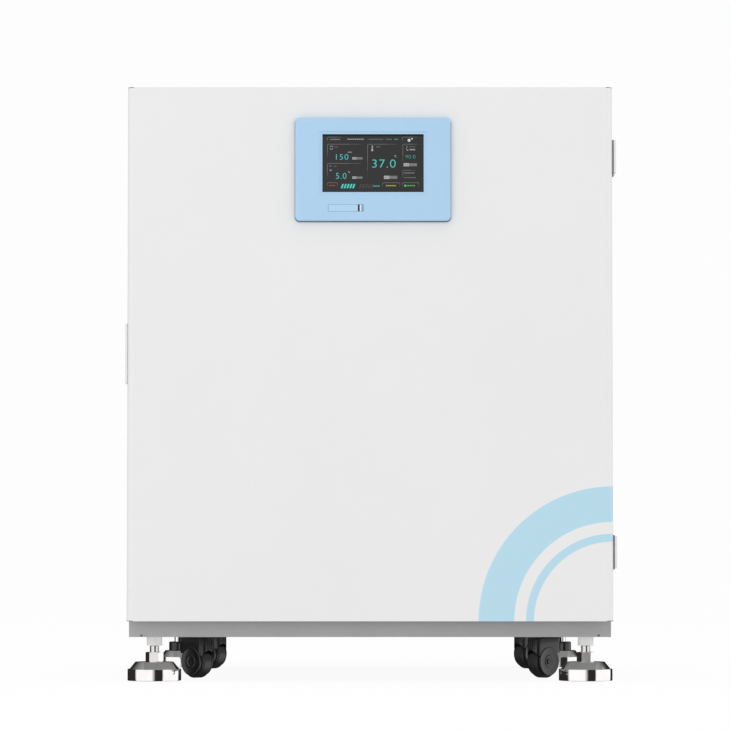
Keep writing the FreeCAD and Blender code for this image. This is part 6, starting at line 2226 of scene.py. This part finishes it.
@dataclass(frozen=True)
class Softbox:
    """A bright window between two bearings, each with the half width of its soft edge, in degrees."""

    start: Pair
    end: Pair

    def light(self, wires: Wires, bearing: NodeSocket) -> NodeSocket:
        """How bright it is at a bearing.

        Args:
            wires: The world's wires.
            bearing: The bearing in degrees.

        Returns:
            The brightness, up to one.
        """
        (start, start_soft), (end, end_soft) = self.start, self.end
        opened_at = wires.spread(bearing, 0.0, 1.0, start - start_soft, start + start_soft)
        closed_at = wires.spread(bearing, 1.0, 0.0, end - end_soft, end + end_soft)
        return wires.maths("MULTIPLY", opened_at, closed_at)


@dataclass
class Studio:
    """Floor, light and camera. Lengths are in metres."""

    camera_place: Point = (0.004, -5.01825, 0.1702)
    camera_pitch: float = 2.057
    camera: tuple[tuple[str, float], ...] = (
        ("sensor_width", 36.0), ("lens", 149.26), ("shift_x", -0.0104), ("shift_y", 0.1325),
        ("clip_end", 100.0),
    )
    floor_reach: float = 30.0
    floor_drop: float = 0.0002
    floor_grey: float = 0.07
    floor_glow: float = 0.925
    floor_rough: Pair = (0.75, 0.85)
    backdrop: float = 0.985
    even: float = 0.86
    left_box: Softbox = Softbox((-83.0, 5.0), (0.0, 8.0))
    right_box: Softbox = Softbox((41.0, 3.0), (129.0, 3.0))
    box_light: float = 1.15
    box_edge: Pair = (0.45, 0.75)
    flag_light: float = 0.025
    top_light: float = 0.35
    top_edge: Pair = (0.45, 0.9)
    lamps: tuple[Lamp, ...] = (
        Lamp("key_left", (-2.4, -3.6, 2.9), (0.0, -0.4, 0.5), (2.6, 2.2), 17.0),
        Lamp("fill_right", (2.8, -3.4, 1.9), (0.0, -0.4, 0.5), (2.2, 2.2), 6.0),
        Lamp("top", (0.0, -0.6, 3.6), (0.0, 0.0, 0.5), (2.5, 2.5), 16.0),
    )

    def build_floor(self) -> None:
        """A plain pale floor."""
        shape = bmesh.new()
        bmesh.ops.create_grid(shape, x_segments=8, y_segments=8, size=self.floor_reach)
        floor = new_object("studio_floor", mesh_from(shape))
        material = bpy.data.materials.new("floor_white")
        material.use_nodes = True
        wires = Wires(material.node_tree)
        sockets = material.node_tree.nodes["Principled BSDF"].inputs
        place = wires.add("ShaderNodeTexCoord").outputs["Object"]
        soft = wires.noise(place, scale=3.0, detail=2.0)
        wires.feed(sockets["Roughness"], wires.spread(soft, *self.floor_rough))
        sockets["Base Color"].default_value = grey(self.floor_grey)
        sockets["Specular IOR Level"].default_value = 0.0
        sockets["Emission Color"].default_value = grey(1.0)
        sockets["Emission Strength"].default_value = self.floor_glow
        floor.data.materials.append(material)
        floor.location.z = -self.floor_drop
        floor.visible_glossy = False

    def reflected(self, wires: Wires) -> NodeSocket:
        """What bright surfaces mirror: two softboxes between dark flags, and a pale light from above.

        Args:
            wires: The world's wires.

        Returns:
            The light.
        """
        way = wires.add("ShaderNodeTexCoord").outputs["Generated"]
        east, north, up = wires.add("ShaderNodeSeparateXYZ", Vector=way).outputs
        turn = wires.maths("ARCTAN2", east, wires.maths("MULTIPLY", north, -1.0))
        bearing = wires.maths("MULTIPLY", turn, 180 / math.pi)
        boxes = wires.maths("ADD", *(box.light(wires, bearing) for box in (self.left_box, self.right_box)))
        low = wires.spread(wires.maths("ABSOLUTE", up), 1.0, 0.0, *self.box_edge)
        light = wires.maths("MULTIPLY", wires.maths("MULTIPLY", boxes, low), self.box_light)
        sides = wires.maths("ADD", light, self.flag_light)
        return wires.maths("ADD", sides, wires.spread(up, 0.0, self.top_light, *self.top_edge))

    def build_world(self) -> None:
        """White for the camera, even light for soft surfaces, and softboxes for bright ones."""
        world = bpy.data.worlds.new("studio")
        world.use_nodes = True
        bpy.context.scene.world = world
        world.node_tree.nodes.clear()
        wires = Wires(world.node_tree)
        path = wires.add("ShaderNodeLightPath").outputs
        shown = wires.blend(path["Is Glossy Ray"], grey(self.even), self.reflected(wires))
        final = wires.blend(path["Is Camera Ray"], shown, grey(self.backdrop))
        light = wires.add("ShaderNodeBackground", Color=final, Strength=1.0)
        wires.add("ShaderNodeOutputWorld", Surface=light.outputs[0])

    def build_camera(self) -> None:
        """The camera at the photograph's viewing angle."""
        data = bpy.data.cameras.new("camera")
        for key, setting in self.camera:
            setattr(data, key, setting)
        camera = new_object("camera", data)
        camera.location = self.camera_place
        camera.rotation_euler = (math.radians(90 + self.camera_pitch), 0.0, 0.0)
        bpy.context.scene.camera = camera

    def build(self) -> None:
        """Make the whole studio."""
        bpy.context.scene.view_settings.view_transform = "Standard"
        self.build_floor()
        self.build_world()
        for lamp in self.lamps:
            lamp.build()
        self.build_camera()
        log.info("studio ready")


def main() -> None:
    """Build the scene in order."""
    logging.basicConfig(level=logging.INFO, format="%(name)s: %(message)s")
    Studio().build()
    dress_nodes()
    for assembly in (RearPanel(), Feet(), Casters(), Door(), Drive(), ControlPanel()):
        assembly.build()
        log.info("%s ready", type(assembly).__name__)


if __name__ == "__main__":
    main()
